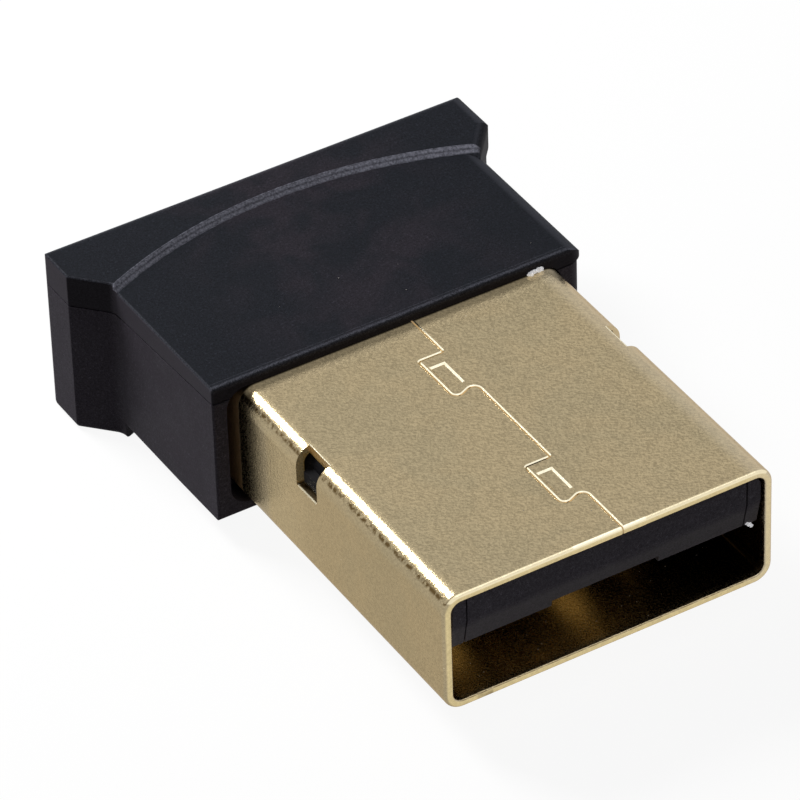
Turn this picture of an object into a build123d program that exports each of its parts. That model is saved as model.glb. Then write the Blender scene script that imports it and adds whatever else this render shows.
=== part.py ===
"""Nano radio adapter: a folded-sheet plug of the standard A outline in a flared two-part housing.

Frame: +Z up, mouth of the plug towards -Y, width along X, origin under the middle of the
adapter on the surface that it lies on. Millimetres.
"""

import os

from build123d import *

os.makedirs("parts", exist_ok=True)

# Plug shell: one sheet folded to the standard outline, closed by a seam on its upper face
plug_width = 12.0
plug_height = 4.5
sheet = 0.3
bend_radius = 0.65
mouth_outer_round = 0.16
mouth_inner_round = 0.08
plug_reach = 12.3

# Seam: two tabs of the right half reach across the centre line into the left half
seam_offset = 0.47
seam_gap = 0.05
seam_edge_break = 0.035
tab_starts = (1.87, 8.18)
tab_length = 2.28
tab_slope = 0.42
tab_lead_radius = 0.24
tab_heel_radius = 0.1
coin_start = 0.62
coin_length = 1.2
coin_left = 0.12
coin_width = 0.58
coin_depth = 0.06

# Windows in the two upper bends, and the latch windows in the underside
corner_window_start = 7.5
corner_window_length = 1.25
corner_window_drop = 1.38
corner_window_reach = 0.52
corner_window_round = 0.12
latch_window_start = 5.16
latch_window_length = 2.0
latch_window_width = 2.5
latch_window_spacing = 5.7
latch_window_round = 0.2

# Ears at the rear end of the shell, bent outwards behind the collar of the housing
ear_reach = 0.42
ear_height = 2.0
ear_gap = 0.1

# Contact carrier: moulded tongue with a block behind it that closes the cavity of the plug
carrier_fit = 0.03
carrier_side_fit = 0.1
carrier_setback = 0.12
cavity_height = 1.95
carrier_block_length = 1.5
block_setback = 1.7
board_shelf_length = 1.0
lead_in_length = 0.22
lead_in_height = 1.0
notch_width = 3.9
notch_depth = 0.24
notch_length = 1.9
face_groove_offset = 5.1
face_groove_width = 0.06
face_groove_depth = 0.04
window_pad_height = 0.16
window_pad_inset = 0.15
window_pad_draft = 20

# Contacts: flat strips with a hooked front end, power and ground ahead of the data pair
contact_width = 1.0
contact_thickness = 0.2
contact_proud = 0.05
contact_hook = 0.55
contact_bend = 0.15
contact_side_fit = 0.02
contact_positions = {
    "power_contact": (-3.5, 1.2),
    "data_minus_contact": (-1.0, 2.2),
    "data_plus_contact": (1.0, 2.2),
    "ground_contact": (3.5, 1.2),
}
contact_tail = 1.2
solder_length = 0.35
solder_run = 0.45
shell_solder_length = 1.4
solder_hollow_radius = 0.68

# Housing: narrow body round the plug, flared cap at the rear with a crown and a foot
pocket_gap = 0.42
pocket_gap_right = 0.06
skirt_wall = 0.5
pocket_depth = 1.0
collar_length = 1.0
collar_fit = 0.05
body_length = 9.15
floor_under_plug = 0.4
belly_drop = 0.2
foot_depth = 0.52
lid_over_plug = 0.4
crown_rise = 0.2
crown_slope = 0.22
flare_out = 1.06
flare_run = 1.15
flare_ease = 0.27
cap_side = 1.7
cap_middle = 1.55
side_wall = 0.8
rear_wall = 0.8
cap_back_round = 0.35
right_cap_round = 0.8
flare_inner_round = 0.6
cap_edge_break = 0.09
back_edge_round = 0.4
right_cap_edge_round = 0.65
flare_edge_round = 0.4
foot_edge_round = 0.22
left_edge_round = 0.08
right_edge_round = 0.8
lid_overhang = 0.09
right_front_round = 0.6
front_edge_round = 0.1
under_edge_round = 0.2

# Parting line: level round the cap, rising to the front along the body
lid_edge_rear = 0.95
lid_edge_front = 0.58
parting_groove_depth = 0.05
lid_wall = 0.65
lip_depth = 0.5
lip_wall = 0.45
lip_fit = 0.05
peg_radius = 0.3
peg_length = 0.85
peg_fit = 0.03
hold_down_size = 0.6
hold_down_fit = 0.03

# Circuit board and how the base carries it
board_thickness = 0.8
board_edge_gap = 0.1
board_front_gap = 0.2
board_rear_gap = 0.25
board_corner_round = 0.25
board_shoulder_gap = 0.25
ledge_width = 0.7
post_radius = 0.4
post_fit = 0.06
post_rise = 0.3

# Parts on the board
part_gap = 0.3
terminal_proud = 0.02
radio_size = 4.0
radio_height = 0.85
radio_mark_radius = 0.22
radio_mark_depth = 0.05
crystal_width = 1.6
crystal_length = 2.0
crystal_base = 0.35
crystal_can = 0.25
crystal_can_inset = 0.15
antenna_length = 3.2
antenna_width = 1.2
antenna_height = 0.9
antenna_cap = 0.4
small_part = (1.0, 0.5, 0.5)
middle_part = (1.6, 0.8, 0.7)
regulator_length = 2.0
regulator_width = 1.25
regulator_height = 0.9
regulator_stand = 0.1
leg_width = 0.3
leg_thickness = 0.12
leg_reach = 0.45
leg_pitch = 0.65
led_lens_rise = 0.2
led_lens_inset = 0.35
led_lens_draft = 15
terminal_share = 0.2

# Places along the adapter
mouth_y = -(plug_reach + body_length) / 2
front_y = mouth_y + plug_reach
back_y = front_y + body_length
shell_length = plug_reach + pocket_depth + collar_length + ear_gap + sheet
shell_end_y = mouth_y + shell_length
cavity_front_y = front_y + pocket_depth + collar_length
cavity_back_y = back_y - rear_wall
flare_y = back_y - cap_side - flare_run
step_side_y = flare_y - flare_ease
carrier_front_y = mouth_y + carrier_setback
block_end_y = front_y - block_setback
tongue_end_y = block_end_y - carrier_block_length
board_front_y = block_end_y + board_front_gap
board_back_y = cavity_back_y - board_rear_gap
shoulder_y = shell_end_y + board_shoulder_gap
tail_end_y = block_end_y + contact_tail
lip_front_y = shoulder_y

# Heights above the surface
plug_bottom = floor_under_plug + belly_drop + foot_depth
plug_middle = plug_bottom + plug_height / 2
plug_top = plug_bottom + plug_height
inner_bottom = plug_bottom + sheet
inner_top = plug_top - sheet
panel_top = plug_top + lid_over_plug
crown_top = panel_top + crown_rise
parting_rear = panel_top - lid_edge_rear
parting_front = panel_top - lid_edge_front
belly_rear = foot_depth
belly_front = belly_rear + belly_drop
lid_under = panel_top - lid_wall
tongue_bottom = inner_bottom + cavity_height
contact_bottom = tongue_bottom - contact_proud
contact_top = contact_bottom + contact_thickness
board_top = contact_bottom
board_bottom = board_top - board_thickness
cavity_floor = plug_bottom - collar_fit

# Half widths
body_half = plug_width / 2 + pocket_gap + skirt_wall
cap_half = body_half + flare_out
cavity_half = body_half - side_wall
carrier_half = plug_width / 2 - sheet - carrier_side_fit
board_half_front = plug_width / 2 - sheet - board_edge_gap
board_half = cavity_half - board_edge_gap
peg_x = (cavity_half + cap_half) / 2
peg_y = back_y - (cap_side + rear_wall / 2) / 2
post_y = (shoulder_y + board_back_y) / 2

# Arc at the front of the cap, through both sides of the body and the middle of the cap
arc_rise = back_y - cap_middle - step_side_y
arc_radius = (body_half**2 + arc_rise**2) / (2 * arc_rise)
arc_centre_y = step_side_y + arc_rise - arc_radius


# Alignment of a rectangle that is centred across and starts at its front edge
from_front = (Align.CENTER, Align.MIN)


def front_plane(y):
    """Plane across the adapter at y: X to the right, Z up."""
    return Plane.XZ.offset(-y)


def level(z):
    """Horizontal plane at height z."""
    return Plane.XY.offset(z)


def cap_plan(inset=0.0):
    """Plan of the flared cap: straight back, short sides, and flares that run into the body."""
    half = cap_half - inset
    neck = body_half - inset
    front = step_side_y - right_edge_round
    with BuildSketch() as plan:
        with BuildLine():
            Polyline(
                (-neck, front),
                (-neck, flare_y),
                (-half, flare_y + flare_run),
                (-half, back_y - inset),
                (half, back_y - inset),
                (half, flare_y + flare_run),
                (neck + lid_overhang, flare_y),
                (neck + lid_overhang, front),
                close=True,
            )
        make_face()
        fillet(plan.vertices().group_by(Axis.Y)[-1], cap_back_round)
        fillet(plan.vertices().group_by(Axis.Y)[1], flare_inner_round)
        fillet(plan.vertices().group_by(Axis.X)[0].sort_by(Axis.Y)[0], left_edge_round)
        fillet(plan.vertices().group_by(Axis.X)[-1].sort_by(Axis.Y)[0], right_cap_round)
    return plan.sketch


def body_plan(inset=0.0):
    """Plan of the narrow body, with its right front corner rounder than the left one."""
    rear = back_y - cap_middle / 2
    with BuildSketch() as plan:
        with BuildLine():
            Polyline(
                (-body_half + inset, front_y + inset),
                (body_half + lid_overhang - inset, front_y + inset),
                (body_half + lid_overhang - inset, rear),
                (-body_half + inset, rear),
                close=True,
            )
        make_face()
        fillet(plan.vertices().group_by(Axis.X)[0].sort_by(Axis.Y)[0], left_edge_round)
        fillet(plan.vertices().group_by(Axis.X)[-1].sort_by(Axis.Y)[0], right_front_round)
    return plan.sketch


def rounded_opening(y, grow_left, grow_right):
    """Outline of the plug at y with the collar's fit above and below, and a gap at each side."""
    with BuildSketch(front_plane(y)) as outline:
        with Locations(((grow_right - grow_left) / 2, plug_middle)):
            RectangleRounded(
                plug_width + grow_left + grow_right, plug_height + 2 * collar_fit, bend_radius + collar_fit
            )
    return outline.sketch


def parting_profile(end):
    """Side view of all that lies between the parting line and the height end, closed."""
    with BuildSketch(Plane.YZ) as profile:
        with BuildLine():
            Polyline(
                (front_y - sheet, parting_front),
                (front_y, parting_front),
                (step_side_y, parting_rear),
                (back_y + sheet, parting_rear),
                (back_y + sheet, end),
                (front_y - sheet, end),
                close=True,
            )
        make_face()
    return profile.sketch


def parting_strip(depth):
    """Side view of a strip of the given depth just under the parting line."""
    with BuildSketch(Plane.YZ) as strip:
        with BuildLine():
            Polyline(
                (front_y - sheet, parting_front),
                (front_y, parting_front),
                (step_side_y, parting_rear),
                (back_y + sheet, parting_rear),
                (back_y + sheet, parting_rear - depth),
                (step_side_y, parting_rear - depth),
                (front_y, parting_front - depth),
                (front_y - sheet, parting_front - depth),
                close=True,
            )
        make_face()
    return strip.sketch


def cavity_plan(inset, start_y):
    """Plan of the space inside the housing from start_y to the rear wall, inset by a gap."""
    with BuildSketch() as plan:
        with Locations((0, start_y + inset)):
            Rectangle(2 * (cavity_half - inset), cavity_back_y - start_y - 2 * inset, align=from_front)
    return plan.sketch


def seam_strip(width):
    """Strip of the given width along the seam, round both tabs, on the upper face of the plug."""
    points = [(seam_offset, mouth_y - plug_height)]
    radii = []
    for start in tab_starts:
        lead = mouth_y + start
        points += [
            (seam_offset, lead + tab_slope),
            (-seam_offset, lead),
            (-seam_offset, lead + tab_length),
            (seam_offset, lead + tab_length),
        ]
        radii += [tab_lead_radius, tab_lead_radius, tab_heel_radius, tab_heel_radius]
    points.append((seam_offset, shell_end_y + plug_height))
    with BuildSketch(level(plug_top)) as strip:
        with BuildLine():
            FilletPolyline(*points, radius=radii)
        trace(line_width=width)
    return strip.sketch


# Plug shell
with BuildPart() as plug_shell:
    with BuildSketch(front_plane(mouth_y)):
        with Locations((0, plug_middle)):
            RectangleRounded(plug_width, plug_height, bend_radius)
            RectangleRounded(
                plug_width - 2 * sheet, plug_height - 2 * sheet, bend_radius - sheet, mode=Mode.SUBTRACT
            )
    extrude(amount=-shell_length)
    mouth_face = plug_shell.faces().sort_by(Axis.Y)[0]
    fillet(mouth_face.outer_wire().edges(), mouth_outer_round)
    mouth_face = plug_shell.faces().sort_by(Axis.Y)[0]
    fillet(mouth_face.inner_wires()[0].edges(), mouth_inner_round)
    extrude(seam_strip(seam_gap), amount=-2 * sheet, mode=Mode.SUBTRACT)
    extrude(
        seam_strip(seam_gap + 2 * seam_edge_break), amount=-seam_edge_break, taper=45, mode=Mode.SUBTRACT
    )
    with BuildSketch(level(plug_top)):
        for start in tab_starts:
            with Locations((-seam_offset + coin_left, mouth_y + start + coin_start)):
                Rectangle(coin_width, coin_length, align=(Align.MIN, Align.MIN))
    extrude(amount=-coin_depth, taper=45, mode=Mode.SUBTRACT)
    for side in (-1, 1):
        with BuildSketch(Plane.YZ.offset(side * (plug_width / 2 - corner_window_reach))) as window:
            with Locations((mouth_y + corner_window_start, plug_top - corner_window_drop)):
                Rectangle(corner_window_length, plug_height, align=(Align.MIN, Align.MIN))
            fillet(window.vertices().group_by(Axis.Y)[0], corner_window_round)
        extrude(amount=side * plug_width, mode=Mode.SUBTRACT)
    with BuildSketch(level(plug_bottom)):
        with Locations((0, mouth_y + latch_window_start + latch_window_length / 2)):
            with GridLocations(latch_window_spacing, 1, 2, 1):
                RectangleRounded(latch_window_width, latch_window_length, latch_window_round)
    extrude(amount=sheet, mode=Mode.SUBTRACT)
    for side in (-1, 1):
        with BuildSketch(front_plane(shell_end_y)):
            with Locations((side * (plug_width / 2 - sheet / 2), plug_middle)):
                outwards = Align.MIN if side > 0 else Align.MAX
                Rectangle(sheet / 2 + ear_reach, ear_height, align=(outwards, Align.CENTER))
        extrude(amount=sheet)
plug_shell.part.label = "plug_shell"
export_step(plug_shell.part, "parts/plug_shell.step")


# Contact carrier
with BuildPart() as contact_carrier:
    with BuildSketch(Plane.YZ) as side_view:
        with BuildLine():
            Polyline(
                (carrier_front_y + lead_in_length, tongue_bottom),
                (tongue_end_y, tongue_bottom),
                (tongue_end_y, inner_bottom + carrier_fit),
                (block_end_y + board_shelf_length, inner_bottom + carrier_fit),
                (block_end_y + board_shelf_length, board_bottom),
                (block_end_y, board_bottom),
                (block_end_y, inner_top - carrier_fit),
                (carrier_front_y, inner_top - carrier_fit),
                (carrier_front_y, tongue_bottom + lead_in_height),
                close=True,
            )
        make_face()
    extrude(amount=carrier_half, both=True)
    with BuildSketch(front_plane(mouth_y)):
        with Locations((0, plug_middle)):
            RectangleRounded(
                2 * carrier_half, plug_height - 2 * sheet - 2 * carrier_fit, bend_radius - sheet
            )
    extrude(amount=-plug_reach - shell_length, mode=Mode.INTERSECT)
    with BuildSketch(front_plane(carrier_front_y)):
        with Locations((0, tongue_bottom)):
            Rectangle(notch_width, 2 * notch_depth)
    extrude(amount=-notch_length, mode=Mode.SUBTRACT)
    with BuildSketch(level(plug_bottom)):
        with Locations((0, carrier_front_y)):
            with GridLocations(2 * face_groove_offset, 1, 2, 1):
                Rectangle(face_groove_width, 2 * (face_groove_depth + lead_in_length))
    extrude(amount=plug_height, mode=Mode.SUBTRACT)
    for x, tip in contact_positions.values():
        with BuildSketch(Plane.YZ.offset(x)):
            with BuildLine():
                Polyline(
                    (mouth_y + tip, contact_bottom - carrier_fit),
                    (block_end_y, contact_bottom - carrier_fit),
                    (block_end_y, contact_top),
                    (mouth_y + tip + contact_thickness + contact_side_fit, contact_top),
                    (mouth_y + tip + contact_thickness + contact_side_fit, contact_bottom + contact_hook),
                    (mouth_y + tip, contact_bottom + contact_hook),
                    close=True,
                )
            make_face()
        extrude(amount=contact_width / 2 + contact_side_fit, both=True, mode=Mode.SUBTRACT)
    for side in (-1, 1):
        with BuildSketch(Plane.YZ.offset(side * carrier_half)):
            with Locations(
                (
                    mouth_y + corner_window_start + corner_window_length / 2,
                    plug_top - corner_window_drop + window_pad_inset,
                )
            ):
                Rectangle(
                    corner_window_length - 2 * window_pad_inset,
                    corner_window_drop - bend_radius - window_pad_inset,
                    align=(Align.CENTER, Align.MIN),
                )
        extrude(amount=side * (carrier_side_fit + window_pad_height), taper=window_pad_draft)
contact_carrier.part.label = "contact_carrier"
export_step(contact_carrier.part, "parts/contact_carrier.step")

# Contacts, hooked into the carrier at the front and soldered to the board at the rear
for name, (x, tip) in contact_positions.items():
    with BuildPart() as contact:
        tip_y = mouth_y + tip
        with BuildSketch(Plane.YZ.offset(x)) as strip:
            with BuildLine():
                Polyline(
                    (tip_y, contact_bottom),
                    (tail_end_y, contact_bottom),
                    (tail_end_y, contact_top),
                    (tip_y + contact_thickness, contact_top),
                    (tip_y + contact_thickness, contact_bottom + contact_hook),
                    (tip_y, contact_bottom + contact_hook),
                    close=True,
                )
            make_face()
            outer_bend = strip.vertices().group_by(Axis.Y)[0].sort_by(Axis.X)[0]
            fillet(outer_bend, contact_bend)
        extrude(amount=contact_width / 2, both=True)
    contact.part.label = name
    export_step(contact.part, f"parts/{name}.step")

# Solder fillets at the four contact tails
with BuildPart() as contact_solder:
    for x, tip in contact_positions.values():
        with BuildSketch(Plane.YZ.offset(x)):
            with BuildLine():
                Polyline(
                    (tail_end_y, board_top),
                    (tail_end_y + solder_length, board_top),
                    (tail_end_y, board_top + contact_thickness),
                    close=True,
                )
            make_face()
        extrude(amount=solder_run, both=True)
contact_solder.part.label = "contact_solder"
export_step(contact_solder.part, "parts/contact_solder.step")

# Solder beads that ground the shell to the edges of the board
with BuildPart() as shell_solder:
    for side in (-1, 1):
        inner_side = plug_width / 2 - sheet
        with BuildSketch(front_plane(shell_end_y)):
            with BuildLine():
                Line((side * inner_side, board_top), (side * inner_side, board_top + solder_run))
                RadiusArc(
                    (side * inner_side, board_top + solder_run),
                    (side * (inner_side - solder_run), board_top),
                    side * solder_hollow_radius,
                )
                Line((side * (inner_side - solder_run), board_top), (side * inner_side, board_top))
            make_face()
        extrude(amount=shell_solder_length)
shell_solder.part.label = "shell_solder"
export_step(shell_solder.part, "parts/shell_solder.step")

# Circuit board: narrow tongue inside the shell, wide part behind it, notched for the posts
with BuildPart() as circuit_board:
    with BuildSketch(level(board_bottom)) as board_plan:
        with BuildLine():
            Polyline(
                (-board_half_front, board_front_y),
                (board_half_front, board_front_y),
                (board_half_front, shoulder_y),
                (board_half, shoulder_y),
                (board_half, board_back_y),
                (-board_half, board_back_y),
                (-board_half, shoulder_y),
                (-board_half_front, shoulder_y),
                close=True,
            )
        make_face()
        fillet(board_plan.vertices().group_by(Axis.Y)[0], board_corner_round)
        fillet(board_plan.vertices().group_by(Axis.Y)[-1], board_corner_round)
        with Locations((-cavity_half, post_y), (cavity_half, post_y)):
            Circle(post_radius + post_fit, mode=Mode.SUBTRACT)
    extrude(amount=board_thickness)
circuit_board.part.label = "circuit_board"
export_step(circuit_board.part, "parts/circuit_board.step")


def two_terminal(x, y, size, across=False):
    """Plans of a small two-terminal part: its body and its two slightly proud end caps."""
    length, width, height = size
    cap = length * terminal_share
    turn = 90 if across else 0
    with BuildSketch(level(board_top)) as body:
        with Locations(Location((x, y), turn)):
            Rectangle(length - 2 * cap, width - 2 * terminal_proud)
    with BuildSketch(level(board_top)) as caps:
        with Locations(Location((x, y), turn)):
            with GridLocations(length - cap, 1, 2, 1):
                Rectangle(cap, width)
    return body.sketch, caps.sketch, height


# Layout of the board: a row behind the contacts, the antenna row along the rear edge, the radio
# chip between them, and a column on each side of it
front_row_y = tail_end_y + solder_length + part_gap + middle_part[1] / 2
antenna_y = board_back_y - part_gap - antenna_width / 2
radio_x = 0.0
radio_y = (front_row_y + middle_part[1] / 2 + antenna_y - antenna_width / 2) / 2
column_x = (radio_size / 2 + board_half) / 2

# Radio chip with its corner mark
with BuildPart() as radio_chip:
    with BuildSketch(level(board_top)):
        with Locations((radio_x, radio_y)):
            Rectangle(radio_size, radio_size)
    extrude(amount=radio_height)
    with BuildSketch(level(board_top + radio_height)):
        mark_inset = 2 * radio_mark_radius
        with Locations((radio_x - radio_size / 2 + mark_inset, radio_y - radio_size / 2 + mark_inset)):
            Circle(radio_mark_radius)
    extrude(amount=-radio_mark_depth, mode=Mode.SUBTRACT)
radio_chip.part.label = "radio_chip"
export_step(radio_chip.part, "parts/radio_chip.step")

# Crystal: ceramic base with a welded can
crystal_x = column_x
crystal_y = radio_y
with BuildPart() as crystal:
    with BuildSketch(level(board_top)):
        with Locations((crystal_x, crystal_y)):
            Rectangle(crystal_width, crystal_length)
    extrude(amount=crystal_base)
    with BuildSketch(level(board_top + crystal_base)):
        with Locations((crystal_x, crystal_y)):
            RectangleRounded(
                crystal_width - 2 * crystal_can_inset,
                crystal_length - 2 * crystal_can_inset,
                crystal_can_inset,
            )
    extrude(amount=crystal_can)
crystal.part.label = "crystal"
export_step(crystal.part, "parts/crystal.step")

# Chip antenna behind the radio chip: ceramic block with two end terminals
antenna_x = radio_x
with BuildPart() as chip_antenna:
    with BuildSketch(level(board_top)):
        with Locations((antenna_x, antenna_y)):
            Rectangle(antenna_length - 2 * antenna_cap, antenna_width - 2 * terminal_proud)
    extrude(amount=antenna_height - terminal_proud)
    with BuildSketch(level(board_top)):
        with Locations((antenna_x, antenna_y)):
            with GridLocations(antenna_length - antenna_cap, 1, 2, 1):
                Rectangle(antenna_cap, antenna_width)
    extrude(amount=antenna_height)
chip_antenna.part.label = "chip_antenna"
export_step(chip_antenna.part, "parts/chip_antenna.step")

# Small two-terminal parts, placed by the pieces that they stand beside
antenna_left_x = antenna_x - antenna_length / 2 - part_gap
led_x = radio_x + radio_size / 2 + part_gap + middle_part[1] / 2
led_y = board_back_y - part_gap - middle_part[0] / 2
bead_x = contact_positions["power_contact"][0]
two_terminal_parts = {
    "antenna_inductor": (antenna_left_x - small_part[1] / 2, antenna_y, small_part, True),
    "antenna_capacitor": (antenna_left_x - 1.5 * small_part[1] - part_gap, antenna_y, small_part, True),
    "crystal_load_capacitor_front": (
        crystal_x, crystal_y - crystal_length / 2 - part_gap - small_part[1] / 2, small_part, False
    ),
    "crystal_load_capacitor_rear": (
        crystal_x, crystal_y + crystal_length / 2 + part_gap + small_part[1] / 2, small_part, False
    ),
    "ferrite_bead": (bead_x, front_row_y, middle_part, False),
    "supply_capacitor": (bead_x + middle_part[0] + part_gap, front_row_y, middle_part, False),
    "core_capacitor": (contact_positions["data_plus_contact"][0], front_row_y, small_part, False),
    "regulator_capacitor": (
        contact_positions["ground_contact"][0], front_row_y, middle_part, False
    ),
    "led_resistor": (
        led_x + middle_part[1] / 2 + part_gap + small_part[1] / 2, antenna_y, small_part, True
    ),
}
for name, (x, y, size, across) in two_terminal_parts.items():
    body_plan_here, cap_plan_here, height = two_terminal(x, y, size, across)
    with BuildPart() as small:
        extrude(body_plan_here, amount=height - terminal_proud)
        extrude(cap_plan_here, amount=height)
    small.part.label = name
    export_step(small.part, f"parts/{name}.step")

# Status lamp: a body with a smaller lens on top
with BuildPart() as status_led:
    with BuildSketch(level(board_top)):
        with Locations((led_x, led_y)):
            Rectangle(middle_part[1], middle_part[0])
    extrude(amount=middle_part[2] - led_lens_rise)
    with BuildSketch(level(board_top + middle_part[2] - led_lens_rise)):
        with Locations((led_x, led_y)):
            Rectangle(middle_part[1], middle_part[0] - 2 * led_lens_inset)
    extrude(amount=led_lens_rise, taper=led_lens_draft)
status_led.part.label = "status_led"
export_step(status_led.part, "parts/status_led.step")

# Voltage regulator: moulded body on three bent legs, two on its left and one on its right
regulator_x = -column_x
regulator_y = radio_y
with BuildPart() as voltage_regulator:
    with BuildSketch(level(board_top + regulator_stand)):
        with Locations((regulator_x, regulator_y)):
            Rectangle(regulator_width, regulator_length)
    extrude(amount=regulator_height)
    leg_level = board_top + regulator_stand + regulator_height / 2
    for leg_y, side in ((-leg_pitch, -1), (leg_pitch, -1), (0, 1)):
        wall = regulator_x + side * regulator_width / 2
        with BuildSketch(front_plane(regulator_y + leg_y)):
            with BuildLine():
                Polyline(
                    (wall, leg_level),
                    (wall + side * leg_reach / 2, leg_level),
                    (wall + side * leg_reach / 2, board_top + leg_thickness),
                    (wall + side * leg_reach, board_top + leg_thickness),
                    (wall + side * leg_reach, board_top),
                    (wall + side * (leg_reach / 2 - leg_thickness), board_top),
                    (wall + side * (leg_reach / 2 - leg_thickness), leg_level - leg_thickness),
                    (wall, leg_level - leg_thickness),
                    close=True,
                )
            make_face()
        extrude(amount=leg_width / 2, both=True)
voltage_regulator.part.label = "voltage_regulator"
export_step(voltage_regulator.part, "parts/voltage_regulator.step")

# Outer form that the two housing shells share: the body block and the flared cap
with BuildPart() as housing_form:
    extrude(body_plan(), amount=crown_top)
    with BuildSketch(front_plane(front_y)) as front_view:
        with Locations((lid_overhang / 2, (belly_rear + panel_top) / 2)):
            Rectangle(2 * body_half + lid_overhang, panel_top - belly_rear)
        fillet(front_view.vertices().group_by(Axis.Y)[0], under_edge_round)
        fillet(front_view.vertices().group_by(Axis.Y)[-1].sort_by(Axis.X)[0], left_edge_round)
        fillet(front_view.vertices().group_by(Axis.Y)[-1].sort_by(Axis.X)[-1], right_edge_round)
    extrude(amount=-body_length, mode=Mode.INTERSECT)
    with BuildSketch(Plane.YZ) as side_view:
        with BuildLine():
            Polyline(
                (front_y, belly_front),
                (step_side_y, belly_rear),
                (back_y, belly_rear),
                (back_y, panel_top),
                (front_y, panel_top),
                close=True,
            )
        make_face()
        fillet(side_view.vertices().sort_by(Axis.X)[:2], front_edge_round)
    extrude(amount=cap_half, both=True, mode=Mode.INTERSECT)
with BuildPart() as cap_form:
    extrude(cap_plan(), amount=crown_top)
    fillet(cap_form.faces().sort_by(Axis.Z)[-1].edges().sort_by(Axis.Y)[1:], cap_edge_break)
    fillet(cap_form.faces().sort_by(Axis.Z)[0].edges().sort_by(Axis.Y)[1:], foot_edge_round)
    for corner, outward, edge_round in (
        ((cap_half, back_y), (1, 0), right_cap_edge_round),
        ((cap_half, flare_y + flare_run), (flare_run, lid_overhang - flare_out), flare_edge_round),
        ((cap_half, back_y), (0, 1), back_edge_round),
    ):
        section = Plane((*corner, 0), x_dir=(*outward, 0), z_dir=(outward[1], -outward[0], 0))
        with BuildSketch(section) as rounded_side:
            Rectangle(4 * cap_half, crown_top, align=(Align.MAX, Align.MIN))
            fillet(rounded_side.vertices().group_by(Axis.Y)[-1].sort_by(Axis.X)[-1], edge_round)
        extrude(amount=4 * cap_half, both=True, mode=Mode.INTERSECT)
    with Locations((0, arc_centre_y, 0)):
        Cylinder(
            arc_radius,
            panel_top - right_edge_round,
            align=(Align.CENTER, Align.CENTER, Align.MIN),
            mode=Mode.SUBTRACT,
        )
    with Locations((0, arc_centre_y, panel_top - right_edge_round)):
        Cone(
            arc_radius - crown_slope * right_edge_round / crown_rise,
            arc_radius + crown_slope,
            crown_rise + right_edge_round,
            align=(Align.CENTER, Align.CENTER, Align.MIN),
            mode=Mode.SUBTRACT,
        )
with BuildPart() as parting_groove:
    extrude(parting_strip(parting_groove_depth), amount=cap_half + sheet, both=True)
    extrude(cap_plan(parting_groove_depth), amount=crown_top, mode=Mode.SUBTRACT)
    extrude(body_plan(parting_groove_depth), amount=crown_top, mode=Mode.SUBTRACT)

# Housing base: tub with the pocket and collar for the plug, ledges and posts for the board
with BuildPart() as housing_base:
    for outer_form in (housing_form.part, cap_form.part):
        with BuildPart():
            add(outer_form)
            add(outer_form.moved(Location((-lid_overhang, 0, 0))), mode=Mode.INTERSECT)
    extrude(parting_profile(crown_top + sheet), amount=cap_half + sheet, both=True, mode=Mode.SUBTRACT)
    add(parting_groove.part, mode=Mode.SUBTRACT)
    extrude(rounded_opening(front_y, pocket_gap, pocket_gap_right), amount=-pocket_depth, mode=Mode.SUBTRACT)
    extrude(
        rounded_opening(front_y, collar_fit, collar_fit),
        amount=-pocket_depth - 2 * collar_length,
        mode=Mode.SUBTRACT,
    )
    tub = cavity_plan(0, cavity_front_y)
    extrude(tub.moved(Location((0, 0, cavity_floor))), amount=plug_height, mode=Mode.SUBTRACT)
    for side in (-1, 1):
        with BuildSketch(level(plug_middle - ear_height / 2 - collar_fit)):
            with Locations((side * cavity_half, cavity_front_y)):
                Rectangle(
                    2 * (plug_width / 2 + ear_reach + collar_fit - cavity_half),
                    shell_end_y + collar_fit - cavity_front_y,
                    align=from_front,
                )
        extrude(amount=plug_height, mode=Mode.SUBTRACT)
        with BuildSketch(level(cavity_floor)):
            with Locations((side * (cavity_half - ledge_width / 2), shoulder_y + part_gap)):
                Rectangle(ledge_width, cavity_back_y - shoulder_y - part_gap, align=from_front)
        extrude(amount=board_bottom - cavity_floor)
        with BuildSketch(level(cavity_floor)):
            with Locations((side * cavity_half, post_y)):
                Circle(post_radius)
        extrude(amount=board_top + post_rise - cavity_floor)
        with BuildSketch(level(parting_rear)):
            with Locations((side * peg_x, peg_y)):
                Circle(peg_radius + peg_fit)
        extrude(amount=-peg_length - peg_fit, mode=Mode.SUBTRACT)
housing_base.part.label = "housing_base"
export_step(housing_base.part, "parts/housing_base.step")

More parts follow.
